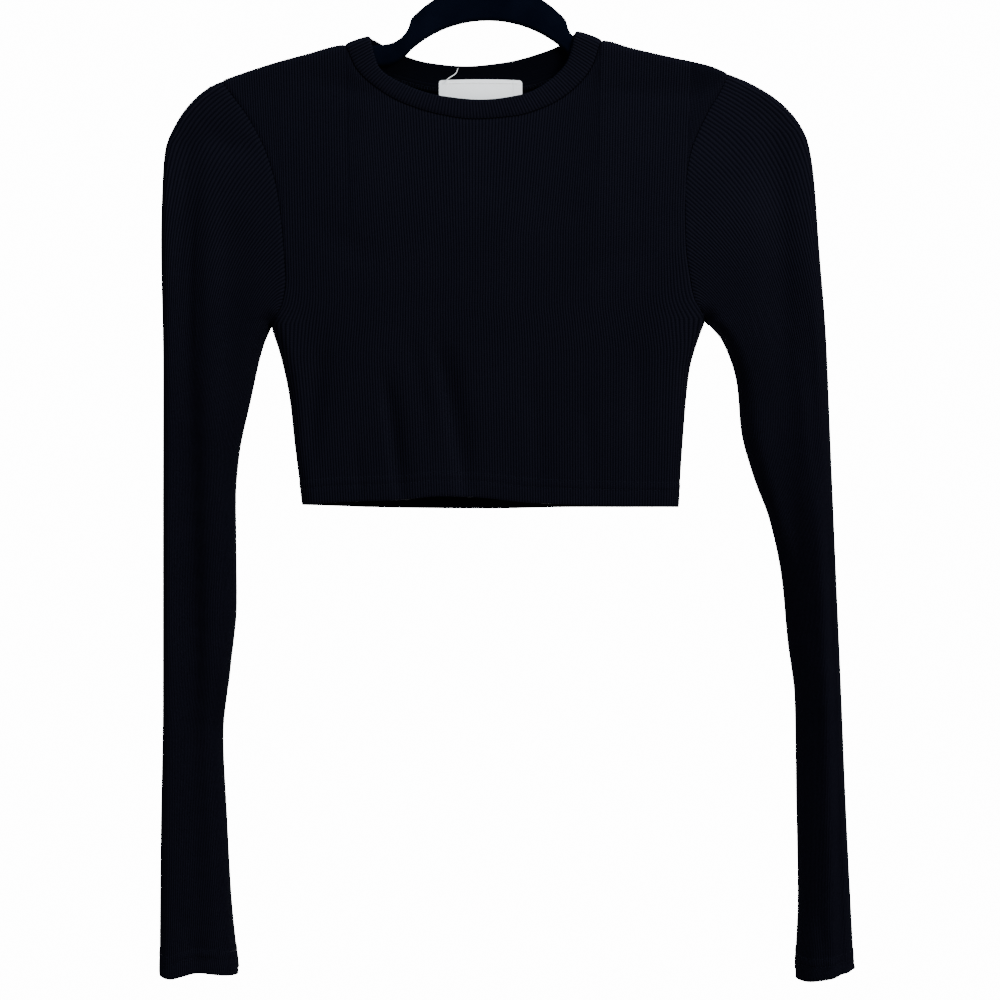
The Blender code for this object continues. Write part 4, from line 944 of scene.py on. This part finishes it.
def sleeve_half(side, layer, seam, columns):
    """Points of one layer, from its outer edge to its inner edge, and the directions at its seam."""
    unrolled = unrolled_sleeve(side, layer)
    levels, _, _, lengths = unrolled
    share = np.linspace(0, 1, columns + 1)
    fine = np.linspace(0, 1, 200)
    pace = np.cumsum(np.sqrt(1 + (HEAD_BELL * np.sin(np.pi * fine)) ** 2))
    pace = (pace - pace[0]) / (pace[-1] - pace[0])
    start, start_out = along_polyline(seam, np.interp(share, fine, pace))

    def span(drop):
        return np.interp(drop, levels, lengths)

    coarse = head_grid(span, -start[::HEAD_STRIDE, 2], PIT[side][1])
    arc, drops = (finer(field, HEAD_STRIDE) for field in coarse)
    rows = []
    for arc_row, drop in zip(arc, drops):
        part = np.clip(arc_row / np.maximum(span(drop), 1e-6), 0, 1)
        part[0], part[-1] = 0, 1
        rows.append(on_sleeve(unrolled, part, drop))
    slip = start - rows[0]
    for row, w in zip(rows, HEAD_SHARES):
        row += slip * max(0.0, 1 - w / 0.2) ** 2
    front = smooth(CUFF[side]["share"], CUFF[side]["drop"], share)
    cuff = front if layer == "front" else front[0] + (front[-1] - front[0]) * share
    for t in tube_shares(TUBE_ROWS, 390):
        drop = SLEEVE_LEVEL + (cuff - SLEEVE_LEVEL) * t
        rows.append(on_sleeve(unrolled, sleeve_shares(share, drop), drop))
    return np.array(rows), start_out


def sleeve(side, seams, columns):
    """Outside and outward directions of a sleeve, round it from the underarm over the front."""
    front, front_out = sleeve_half(side, "front", seams["front"], columns)
    back, back_out = sleeve_half(side, "back", seams["back"], columns)
    front[1:, -1, 1] = tube_middle(side, 0, -front[1:, -1, 2])
    points = np.concatenate([front[:, ::-1], back[:, 1:-1]], 1)
    normals = ring_normals(points, 20)
    normals[0] = np.concatenate([front_out[::-1], back_out[1:-1]])
    edge = np.concatenate([points[0], normals[0]], 1)
    points[0] = drawn_in(points[0], normals[0], points[2], True)
    return points, normals, edge


for side, seams in armholes.items():
    half = SLEEVE_WALES * PER_WALE // 2
    points, normals, edge = sleeve(side, seams, half)
    sink = -hem_relief(points)
    sink[:ROWS_NEAR_HEAD] += seam_sink(points[:ROWS_NEAR_HEAD], [edge[:, :3]], *SEAM_DENT)
    back = points - normals * WALL
    for height in HEM_STITCHES:
        line = row_above(points, normals, height)
        stitch_lines.append(np.concatenate([line, line[:1]]))
    wale_wide = np.linalg.norm(np.roll(points, -1, 1) - np.roll(points, 1, 1), axis=-1) * PER_WALE / 2
    fade = ease((wale_wide - FLAT_WALE) / 0.7)
    panels[side] = ribbed_mesh(f"cloth_sleeve_{side}", points, normals, back, sink, True, fade)
    add_strip(panels[side], edge[::PER_WALE], STRIP_REACH, WALL + STRIP_OFF)
    print(side, "sleeve:", len(panels[side].data.polygons), "faces")

# %% [markdown]
# ## The neckband
#
# A strip of the same knit, folded double and turned, so its wales cross the band.

# %% Neckband
BAND_PROUD = 0.6  # the double band stands this much out from the panel
BAND_LEAST = 5.2  # half of the band's depth over the hanger
BAND_LEAN = 0.75  # share of the swell that is left at the band's top edge
BAND_ROWS = 16
BAND_BOW = 0.5  # how far the band's wall bows out between its two edges
BAND_SIDE = 230  # length of one side of the band, for the rounding at its ends
ALLOWANCE = 4.4  # width of the seam allowance that is turned down from the neck seam
ALLOWANCE_OFF = 0.12  # from the band's inside to that allowance


def neckband(edges):
    """Middle line of the band's wall: rows from the neck seam to the folded top edge, and directions."""
    low, low_out, high = [], [], []
    lengths = [np.linalg.norm(np.diff(edges[n][:, :3], axis=0), axis=1).sum() for n in edges]
    for (layer, edge), curve in zip(edges.items(), (BAND_TOP_FRONT, BAND_TOP_BACK)):
        count = round(BAND_WALES * lengths[layer == "back"] / sum(lengths)) * PER_WALE
        share = np.linspace(0, 1, count + 1)
        seam, out = along_polyline(edge, share)
        low.append(seam + BAND_PROUD * out)
        low_out.append(out)
        x, drop = curve_points(curve, 400)
        side = np.interp(np.linspace(0, 1, 400), share, low[-1][:, 1])
        over = rounded(np.minimum(np.arange(400), np.arange(399, -1, -1)) / 400 * BAND_SIDE, BAND_LEAST)
        depth = BAND_LEAST + BAND_LEAN * np.maximum(np.abs(side) - BAND_LEAST, 0)
        top = placed(x, math.copysign(1, side[200]) * depth * over, drop)
        high.append(along_polyline(top, share))
    low, low_out, high = (np.concatenate([a[:-1], b[::-1][:-1]]) for a, b in (low, low_out, high))
    share = np.linspace(0, 1, BAND_ROWS)[:, None, None]
    rows = low + (high - low) * share
    normals = ring_normals(rows)
    rows = rows + normals * BAND_BOW * 4 * share * (1 - share)
    normals[0] = low_out
    rows[0] = drawn_in(rows[0], low_out, rows[1], True)
    return rows, normals


points, normals = neckband(necks)
height = np.linspace(0, 1, BAND_ROWS)[:, None]
turn = np.clip((height * 13 - 11.6) / 1.4, 0, 1)  # 0 up to the last 1.4 of the band's 13 mm
turned = BAND_THICK / 2 * (1 - np.sqrt(np.clip(1 - turn**2, 0, 1)))
back = points - normals * (BAND_THICK - turned)[..., None]
sink = seam_sink(points, [necks[layer][:, :3] for layer in necks], 0.5, 1.4) + turned * 0.9
panels["band"] = ribbed_mesh("cloth_neckband", points, normals, back, sink, True)
ring = np.concatenate([necks["front"][:-1], necks["back"][::-1][:-1]])
halves = [np.linspace(0, 1, len(necks[layer]))[:-1] for layer in ("front", "back")]
wide = [1.6 + (ALLOWANCE - 1.6) * ease(np.minimum(s, 1 - s) / 0.15) for s in halves]
add_strip(panels["band"], ring, (-np.concatenate(wide), 1.4), BAND_THICK - BAND_PROUD + ALLOWANCE_OFF)
print("neckband:", len(panels["band"].data.polygons), "faces,", points.shape[1] // PER_WALE, "wales")

# %% [markdown]
# ## The label
#
# A bare white woven label lies over the neck seam. Its corners are cut round and its two ends are
# folded under, so they are a little thicker.

# %% Label
LABEL_CORNER = 2.2  # radius of the label's corners
LABEL_FOLD = 6.0  # width of the ends that are folded under
LABEL_WALL = 0.35  # woven ribbon
LABEL_OFF = 0.6  # from the neckband's inside to the label's front
LABEL_DOUBLE = 0.22  # how much nearer the doubled ends lie


def label_grid():
    """Front points of the label: it bows a little, and its ends are doubled."""
    across = np.linspace(-1, 1, 121)
    down = LABEL_TALL * (1 - np.cos(np.linspace(0, np.pi, 41)))[:, None] / 2
    from_edge = np.clip(np.minimum(down, LABEL_TALL - down), 0, LABEL_CORNER)
    cut = LABEL_CORNER - np.sqrt(LABEL_CORNER**2 - (LABEL_CORNER - from_edge) ** 2)
    x = LABEL_X + across * (LABEL_WIDE / 2 - cut)
    seam = drop_on(NECK_BACK, x)
    behind = layer_depth("back", "body", x, seam) + BAND_PROUD - BAND_THICK - SEAM_GAP - LABEL_LEAN
    drop = LABEL_DROP + LABEL_BOW * across**2 + down
    doubled = LABEL_DOUBLE * ease((np.abs(x - LABEL_X) - LABEL_WIDE / 2 + LABEL_FOLD + 0.4) / 0.5)
    lower = down / LABEL_TALL
    sag = 0.18 * np.sin(lower * 3.0) * np.cos(across * 2.2) + 0.3 * (lower * across) ** 2
    return placed(x, behind - LABEL_OFF - doubled - sag, drop)


def thin_sheet(name, grid, thick):
    """A sheet of even thickness behind a grid of points, as a new object."""
    rows, columns = grid.shape[:2]
    cells = np.arange(rows * columns).reshape(rows, columns)
    faces = np.stack([cells[:-1, :-1], cells[1:, :-1], cells[1:, 1:], cells[:-1, 1:]], -1)
    made = new_object(name, grid.reshape(-1, 3), faces.reshape(-1, 4).tolist())
    solid = made.modifiers.new("thickness", "SOLIDIFY")
    solid.thickness, solid.offset = thick * MM, -1
    return made


label_points = label_grid()
panels["label"] = thin_sheet("woven_label", label_points, LABEL_WALL)
print("label:", LABEL_WIDE, "x", LABEL_TALL, "mm,", len(panels["label"].data.polygons), "faces")

# %% [markdown]
# ## Sewing
#
# Every stitch is a small spindle of thread that dips into the cloth at both ends. Hem and cuffs have
# two rows of coverstitch, and the neck's allowance is overlocked. One end of thread stands up loose.

# %% Stitches
STITCH, THREAD_SHARE = 2.9, 0.8  # length of a stitch, and the share of it that shows
THREAD, OVERLOCK_THREAD, LABEL_THREAD = 0.17, 0.2, 0.26  # radii of the threads
LOOSE_END = table(
    "x y drop", (-29.2, 1.35, 122.8), (-28.6, 0.9, 121.2), (-26.6, 1.0, 119.4), (-24.3, 1.5, 117.9),
    (-22.4, 1.7, 116.4), (-21.3, 1.5, 114.6), (-20.7, 1.3, 112.9),
)


def thread_tubes(name, paths, radius, sides=6, taper=0.45):
    """One mesh of thin tubes along polylines, thinner at their ends."""
    verts, faces = [], []
    angles = np.linspace(0, 2 * np.pi, sides, endpoint=False)
    for path in paths:
        along = unit(np.gradient(path, axis=0))
        side = unit(np.cross(along, (0.3, 1.0, 0.2)))
        third = np.cross(along, side)
        wide = np.full(len(path), radius)
        wide[[0, -1]] *= taper
        ring = np.cos(angles)[:, None, None] * side + np.sin(angles)[:, None, None] * third
        base, count = len(verts) * sides, len(path)
        rings = path + ring * wide[:, None]
        for k in range(count):
            verts.append(rings[:, k])
            if k:
                low, high = base + (k - 1) * sides, base + k * sides
                faces += [(low + a, low + (a + 1) % sides, high + (a + 1) % sides, high + a)
                          for a in range(sides)]
        faces.append(tuple(base + a for a in range(sides))[::-1])
        faces.append(tuple(base + (count - 1) * sides + a for a in range(sides)))
    return new_object(name, np.concatenate(verts), faces)


def running_stitches(line, lift, pitch=STITCH):
    """Paths of straight stitches along a line of points and directions."""
    far = length_so_far(line[:, :3])
    paths = []
    for start in np.arange(0.4, far[-1] - pitch, pitch):
        at = start + pitch * THREAD_SHARE * np.linspace(0, 1, 6)
        point = np.stack([np.interp(at, far, line[:, k]) for k in range(6)], -1)
        rise = lift * np.array([-0.6, 0.75, 1, 1, 0.75, -0.6])[:, None]
        paths.append(point[:, :3] + unit(point[:, 3:]) * rise)
    return paths


hem_paths = [path for line in stitch_lines for path in running_stitches(line, RIB_RELIEF + 0.12)]
panels["coverstitch"] = thread_tubes("coverstitch", hem_paths, THREAD)
print("Coverstitch:", len(hem_paths), "stitches")

# Overlock threads lie over the edge of the neck's allowance, inside the back panel.
back_seam = necks["back"]
share = np.linspace(0.09, 0.91, 84)
edge, out = along_polyline(back_seam, share)
along = unit(np.gradient(edge, axis=0))
across = unit(np.cross(out, along))
across *= -np.sign(across[:, 2:])
inner = edge - out * (BAND_THICK - BAND_PROUD + ALLOWANCE_OFF + STRIP_THICK + 0.1)
loops = []
for k in range(len(share) - 1):
    low, high = inner[k] + across[k] * (ALLOWANCE + 0.15), inner[k] + across[k] * 1.3
    beside = inner[k + 1] + across[k + 1] * 1.3
    loops.append(np.array([low, (low + high) / 2 - out[k] * 0.1, high]))
    loops.append(np.array([high, (high + beside) / 2 - out[k] * 0.12, beside]))
panels["overlock"] = thread_tubes("overlock_threads", loops, OVERLOCK_THREAD)

# The label's own stitches, and the end of its thread, which stands up over the neckband.
top_row = label_points[9, 4:-4]
facing = np.tile((0.0, -1.0, 0.0), (len(top_row), 1))
label_paths = running_stitches(np.concatenate([top_row, facing], 1), 0.16, 2.3)
at = np.linspace(0, len(LOOSE_END["x"]) - 1, 40)
x, y, drop = (smooth(np.arange(len(axis)), axis, at) for axis in LOOSE_END.values())
loose = placed(x, y, drop)
panels["label_thread"] = thread_tubes("label_thread", label_paths + [loose], LABEL_THREAD, 8)
print("Overlock:", len(loops), "threads; label:", len(label_paths), "stitches")

# %% [markdown]
# ## The hanger and its hook
#
# The hanger is a flat band with full-round edges: an arch in the middle and two arms. Its sections
# come from the same tables as the CAD's, with a smooth curve through them.

# %% Hanger and hook
HANGER_THICK = 5.0
HOOK_WIRE, HOOK_RADIUS = 3.8, 20.0  # wire thickness and the hook's inner radius
# Hanger: where the arch turns into the arm, top against underside, then the top line out to the nose.
HANGER_FOOT = table(
    "x drop under_x under_drop",
    (55.4, 86, 56.4, 104.6), (59.4, 91.6, 60.6, 108), (65.6, 95.8, 65.8, 110.8), (74, 97.6, 72.5, 112.4),
)
HANGER_ARM = table(
    "x drop", (84, 98.6), (102, 102), (128, 107.5), (150, 113), (165, 118), (180, 125), (193, 133.8),
    (204.5, 145), (212, 157),
)
ARCH = {"outer": (125.5, 70.4), "inner": (159.4, 79.0)}  # drop of the centre, and radius
ARCH_FOOT = {"outer": 49.0, "inner": 42.0}  # degrees from the top at which an arch ends
ARM_BAND = 15.0  # height of the arm's band
HANGER_TILT = 0.4  # degrees that the hanger hangs off level, its left arm up
# Wire of the hook: under the ball of the circle and down into the hanger.
HOOK_FOOT = table("x drop", (19.4, 30), (14.2, 37), (7.4, 42.2), (2.2, 46), (0, 50), (0, 54.7))


def spline(values, times):
    """A smooth curve through rows of values, with times as many steps."""
    padded = np.vstack([2 * values[0] - values[1], values, 2 * values[-1] - values[-2]])
    made = []
    for k in range(1, len(padded) - 2):
        a, b, c, d = padded[k - 1 : k + 3]
        for t in np.arange(times) / times:
            bend = 2 * a - 5 * b + 4 * c - d + t * (3 * (b - c) + d - a)
            made.append(b + 0.5 * t * (c - a + t * bend))
    return np.array([*made, values[-1]])


def hanger_lines():
    """Top and underside of the hanger's right half, point against point, from the middle out."""
    share = np.linspace(0, 1, 8)[:, None]
    lines = {}
    for name, (middle, radius) in ARCH.items():
        turn = np.radians(ARCH_FOOT[name]) * share
        lines[name] = np.hstack([radius * np.sin(turn), middle - radius * np.cos(turn)])
    foot = [HANGER_FOOT[name] for name in ("x", "drop", "under_x", "under_drop")]
    x, drop = curve_points(HANGER_ARM, 13)
    top = np.stack([x, drop], -1)
    under = top + ARM_BAND * unit(np.gradient(top, axis=0))[:, ::-1] * (-1, 1)
    tops = np.vstack([lines["outer"], np.stack(foot[:2], -1), top])
    return tops, np.vstack([lines["inner"], np.stack(foot[2:], -1), under])


def loft(name, rings):
    """A closed smooth body through rings of points."""
    count = len(rings[0])
    faces = [tuple(range(count)), tuple(range((len(rings) - 1) * count, len(rings) * count))[::-1]]
    for r in range(len(rings) - 1):
        for k in range(count):
            low, high = r * count, (r + 1) * count
            faces.append((low + k, low + (k + 1) % count, high + (k + 1) % count, high + k))
    made = new_object(name, np.concatenate(rings), faces)
    face_outwards(made.data)
    return made


def hanger_rings():
    """Rings round the band from nose to nose."""
    top, under = hanger_lines()
    middle, half = (top + under) / 2, (top - under) / 2
    turn = np.radians(np.linspace(20, 88, 10))
    out = unit(middle[-1] - middle[-2])
    both = spline(np.hstack([middle, half]), 6)
    noses = [
        np.hstack([middle[-1] + out * math.sin(a) * ARM_BAND / 2, half[-1] * math.cos(a)]) for a in turn
    ]
    rings = []
    for mx, md, hx, hd in np.vstack([both, noses]):
        high = math.hypot(hx, hd)
        thick = min(HANGER_THICK / 2, 0.8 * high)
        ring = []
        for sign in (1, -1):
            for a in np.radians(np.linspace(90, -90, 13)):
                far = sign * (high - thick + thick * math.cos(a)) / high
                ring.append((mx + hx * far, sign * thick * math.sin(a), -(md + hd * far)))
        rings.append(np.array(ring))
    rings = [ring * (-1, 1, 1) for ring in rings[:0:-1]] + rings
    cos, sin = math.cos(math.radians(HANGER_TILT)), math.sin(math.radians(HANGER_TILT))
    turned = np.array([[cos, 0, sin], [0, 1, 0], [-sin, 0, cos]])
    pivot = np.array([0, 0, -ARCH["outer"][0]])
    return [(ring - pivot) @ turned.T + pivot for ring in rings]


def hook_rings():
    """Rings round the wire, from its rounded free end over the rail and down into the arch."""
    radius = HOOK_RADIUS + HOOK_WIRE / 2
    turn = np.radians(np.arange(-112, 110, 6))
    x = np.concatenate([radius * np.sin(turn), HOOK_FOOT["x"]])
    drop = np.concatenate([HOOK_RADIUS - radius * np.cos(turn), HOOK_FOOT["drop"]])
    path = spline(np.stack([x, drop], -1), 5)
    along = unit(np.gradient(path, axis=0))
    wide = np.full(len(path), HOOK_WIRE / 2)
    far = np.arange(len(path)) * np.linalg.norm(path[1] - path[0])
    wide *= np.sqrt(np.clip(1 - (1 - np.clip(far / (HOOK_WIRE / 2), 0.02, 1)) ** 2, 0, 1))
    angles = np.linspace(0, 2 * np.pi, 24, endpoint=False)
    rings = []
    for (px, pd), (ax, ad), w in zip(path, along, wide):
        off = w * np.cos(angles)
        rings.append(np.stack([px - ad * off, w * np.sin(angles), -(pd + ax * off)], -1))
    return rings


panels["hanger"] = loft("flocked_hanger", hanger_rings())
panels["hook"] = loft("wire_hook", hook_rings())
print("Hanger and hook:", [len(panels[n].data.polygons) for n in ("hanger", "hook")], "faces")

# %% [markdown]
# ## Materials
#
# Nearly black cloth shows its form only through the shade in its grooves; besides the relief, the base
# colour paints shade into the grooves and makes the crests lighter. Each point of the knit carries its
# wale, its distance down the wale and its height, and the stitches and that painted shade are drawn from
# them.

# %% Materials
COURSE = 1.25  # height of one knitted stitch in millimetres
KNIT_SHINE, KNIT_SHEEN = 0.003, 0.0004
# Ends of the knit's colour ramp: the dark one is the painted shade in the grooves, the light one the
# lighter crests.
KNIT_DARK, KNIT_LIGHT = (0.0011, 0.0012, 0.0023), (0.0057, 0.0056, 0.0096)


def shader_of(made):
    return made.node_tree.nodes["Principled BSDF"]


def new_material(name, roughness, **inputs):
    """A material with a Principled shader and plain numbers on its sockets."""
    made = bpy.data.materials.new(name)
    made.use_nodes = True
    shader = shader_of(made)
    shader.inputs["Roughness"].default_value = roughness
    for socket, value in inputs.items():
        shader.inputs[socket.replace("_", " ")].default_value = value
    return made


def add_node(made, kind, **inputs):
    node = made.node_tree.nodes.new(kind)
    for socket, value in inputs.items():
        node.inputs[socket.replace("_", " ")].default_value = value
    return node


def calc(made, operation, *values):
    """Output of a Math node that is fed with sockets or plain numbers."""
    node = made.node_tree.nodes.new("ShaderNodeMath")
    node.operation = operation
    for k, value in enumerate(values):
        if isinstance(value, (int, float)):
            node.inputs[k].default_value = value
        else:
            made.node_tree.links.new(value, node.inputs[k])
    return node.outputs[0]


def noise_of(made, scale, detail=3.0):
    """Procedural noise in object coordinates."""
    where = add_node(made, "ShaderNodeTexCoord")
    noise = add_node(made, "ShaderNodeTexNoise", Scale=scale, Detail=detail)
    made.node_tree.links.new(where.outputs["Object"], noise.inputs["Vector"])
    return noise.outputs["Fac"]


def colour_between(made, share, dark, light, low=0.0, high=1.0):
    """Base colour from a ramp between two colours."""
    ramp = add_node(made, "ShaderNodeValToRGB")
    for element, place, colour in zip(ramp.color_ramp.elements, (low, high), (dark, light)):
        element.position, element.color = place, (*colour, 1)
    made.node_tree.links.new(share, ramp.inputs["Fac"])
    made.node_tree.links.new(ramp.outputs["Color"], shader_of(made).inputs["Base Color"])


def bump_from(made, height, strength, distance):
    bump = add_node(made, "ShaderNodeBump", Strength=strength, Distance=distance)
    made.node_tree.links.new(height, bump.inputs["Height"])
    made.node_tree.links.new(bump.outputs["Normal"], shader_of(made).inputs["Normal"])


knit = new_material("rib_knit_navy", 0.9, Specular_IOR_Level=KNIT_SHINE, Sheen_Weight=KNIT_SHEEN,
                    Sheen_Roughness=0.5, Sheen_Tint=(0.55, 0.68, 1.0, 1))
kept = add_node(knit, "ShaderNodeAttribute")
kept.attribute_name = "knit"
axes = add_node(knit, "ShaderNodeSeparateXYZ")
knit.node_tree.links.new(kept.outputs["Vector"], axes.inputs["Vector"])
wale, down, height = axes.outputs
beside = calc(knit, "ABSOLUTE", calc(knit, "SUBTRACT", calc(knit, "FRACT", wale), 0.5))
slant = calc(knit, "MULTIPLY_ADD", beside, 0.9, calc(knit, "DIVIDE", down, COURSE))
stitch = calc(knit, "SINE", calc(knit, "MULTIPLY", slant, 2 * math.pi))
fuzz = noise_of(knit, 2400.0)
patch = noise_of(knit, 21.0, 3.0)
relief = calc(knit, "MULTIPLY_ADD", stitch, 0.35, fuzz)
bump_from(knit, relief, 0.5, 0.00022)
# Painted shade: the wale's height makes the colour darker in the grooves and lighter on the crests; the
# stitch pattern and the two noises add the knit's own tone.
groove_shade_and_tone = calc(knit, "MULTIPLY_ADD", height, 0.62, calc(knit, "MULTIPLY", stitch, 0.07))
groove_shade_and_tone = calc(knit, "MULTIPLY_ADD", calc(knit, "SUBTRACT", patch, 0.5), 0.16, groove_shade_and_tone)
groove_shade_and_tone = calc(knit, "MULTIPLY_ADD", calc(knit, "SUBTRACT", fuzz, 0.5), 0.3, groove_shade_and_tone)
colour_between(knit, groove_shade_and_tone, KNIT_DARK, KNIT_LIGHT, 0.0, 0.9)

velvet = new_material("flocking_black", 0.95, Specular_IOR_Level=0.002, Sheen_Weight=0.0006,
                      Sheen_Roughness=0.35, Sheen_Tint=(0.5, 0.65, 1.0, 1))
pile = noise_of(velvet, 3200.0)
bump_from(velvet, pile, 0.7, 0.0003)
worn = calc(velvet, "MULTIPLY_ADD", noise_of(velvet, 40.0), 0.6, calc(velvet, "MULTIPLY", pile, 0.4))
colour_between(velvet, worn, (0.0005, 0.0009, 0.0028), (0.0018, 0.0027, 0.0062), 0.3, 0.7)

white = new_material("label_white", 0.75, Specular_IOR_Level=0.25, Sheen_Weight=0.05)
where = add_node(white, "ShaderNodeTexCoord")
weave = add_node(white, "ShaderNodeTexChecker", Scale=2600.0)
white.node_tree.links.new(where.outputs["Object"], weave.inputs["Vector"])
yarn = calc(white, "MULTIPLY_ADD", weave.outputs["Fac"], 0.4, noise_of(white, 1500.0))
bump_from(white, yarn, 0.35, 0.0001)
colour_between(white, yarn, (0.8, 0.8, 0.79), (0.9, 0.9, 0.89), 0.2, 1.0)

thread = new_material("thread_navy", 0.7, Specular_IOR_Level=0.02, Sheen_Weight=0.002)
ply = noise_of(thread, 5200.0)
bump_from(thread, ply, 0.5, 0.0001)
colour_between(thread, ply, (0.002, 0.0022, 0.004), (0.0068, 0.0072, 0.0125), 0.3, 0.7)

chrome = new_material("chrome_wire", 0.16, Metallic=1.0)
wear = noise_of(chrome, 420.0, 6.0)
bump_from(chrome, wear, 0.06, 0.0001)
colour_between(chrome, wear, (0.6, 0.61, 0.63), (0.78, 0.79, 0.8), 0.3, 0.7)
print("Materials:", ", ".join(m.name for m in (knit, velvet, white, thread, chrome)))

# %% [markdown]
# ## Who rides on what
#
# Every new piece rides on the one body. The cloth, label, hanger and hook stand for CAD nodes; the
# threads are added to them.

# %% Pieces on the body
STANDS_FOR = {
    "front": ("front", knit, "rib_knit"), "back": ("back", knit, "rib_knit"),
    "left": ("sleeve_left", knit, "rib_knit"), "right": ("sleeve_right", knit, "rib_knit"),
    "band": ("neckband", knit, "rib_knit"), "label": ("label", white, "label_white"),
    "hanger": ("hanger", velvet, "flocking"), "hook": ("hook", chrome, "chrome_wire"),
    "coverstitch": (None, thread, "rib_knit"), "overlock": (None, thread, "rib_knit"),
    "label_thread": (None, white, "label_white"),
}
for part, (node, finish, slot) in STANDS_FOR.items():
    piece = panels[part]
    piece.data.materials.clear()
    piece.data.materials.append(finish)
    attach(piece, "root")
    if node:
        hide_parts(node)
print("Pieces:", ", ".join(panels[part].name for part in STANDS_FOR))

# %% [markdown]
# ## The cut of each piece
#
# Each piece's row gives the width and length of its pattern piece, and the area of cloth in it; the
# print sets the mesh's area beside it. A tube's is measured all round, and the neckband's is the outer
# side that shows of its folded strip.

# %% Cuts
CUTS = {  # flat width and length in metres, flat area in square metres, and what carries it
    "front": ((0.365, 0.335), 0.0860, ("hanger",)),
    "back": ((0.365, 0.345), 0.0890, ("hanger",)),
    "left": ((0.215, 0.640), 0.0935, ("hanger", "front", "back")),
    "right": ((0.215, 0.640), 0.0920, ("hanger", "front", "back")),
    "band": ((0.402, 0.0185), 0.00744, ("hanger", "front", "back")),
    "label": ((0.0576, 0.020), 0.00114, ("band",)),
}
for part, (flat, area, under) in CUTS.items():
    mesh = panels[part].data
    shown = sum(face.area for face in mesh.polygons) / (1 if part == "label" else 2)
    print(part, "cut", flat, "area", area, "measured", round(shown, 5), "ratio", round(shown / area, 2))

# %% [markdown]
# ## Camera, light and backdrop

# %% Camera and light
SEEN = (0.0083, 0, -0.411)  # the point in the middle of the picture, in metres
CAMERA_AWAY, FOCAL_LENGTH = 1.3, 67.83  # metres and millimetres
WALL_AT, WALL_WIDE, WALL_TOP, WALL_FOOT = 3.2, 2.6, 1.8, -2.6  # the backdrop, in metres


def look_at(thing, target):
    thing.rotation_euler = (Vector(target) - thing.location).to_track_quat("-Z", "Y").to_euler()


def area_light(name, place, target, width, height, power, colour=(1, 1, 1)):
    data = bpy.data.lights.new(name, "AREA")
    data.color = colour
    data.shape, data.size, data.size_y, data.energy = "RECTANGLE", width, height, power
    made = add_object(name, data)
    made.location = place
    look_at(made, target)


lens = bpy.data.cameras.new("camera")
lens.sensor_width, lens.lens = 36, FOCAL_LENGTH
camera = add_object("camera", lens)
camera.location = (SEEN[0], -CAMERA_AWAY, SEEN[2])
look_at(camera, SEEN)
bpy.context.scene.camera = camera

backdrop_mesh = bpy.data.meshes.new("backdrop")
corners = (-WALL_WIDE, WALL_TOP), (WALL_WIDE, WALL_TOP), (WALL_WIDE, WALL_FOOT), (-WALL_WIDE, WALL_FOOT)
backdrop_mesh.from_pydata([(x, WALL_AT, z) for x, z in corners], [], [(0, 1, 2, 3)])
backdrop = add_object("backdrop", backdrop_mesh)
paper = new_material("paper", 0.9, Base_Color=(0.9, 0.9, 0.9, 1), Emission_Color=(1, 1, 1, 1),
                     Emission_Strength=14.0)
backdrop_mesh.materials.append(paper)

area_light("key", (1.5, -1.5, 0.5), (0, 0, -0.4), 0.9, 1.2, 74)
area_light("fill", (-1.2, -1.6, -1.3), (0, 0, -0.5), 1.2, 1.0, 16, (1, 0.93, 0.95))
area_light("top", (0.1, -0.5, 1.3), (0, 0, -0.3), 1.2, 0.8, 34, (0.7, 0.85, 1))
world = bpy.data.worlds.new("studio")
world.use_nodes = True
world.node_tree.nodes["Background"].inputs["Color"].default_value = (0.9, 0.95, 1.0, 1)
world.node_tree.nodes["Background"].inputs["Strength"].default_value = 0.45
bpy.context.scene.world = world
print("Camera", round(camera.location.y, 2), "m in front")
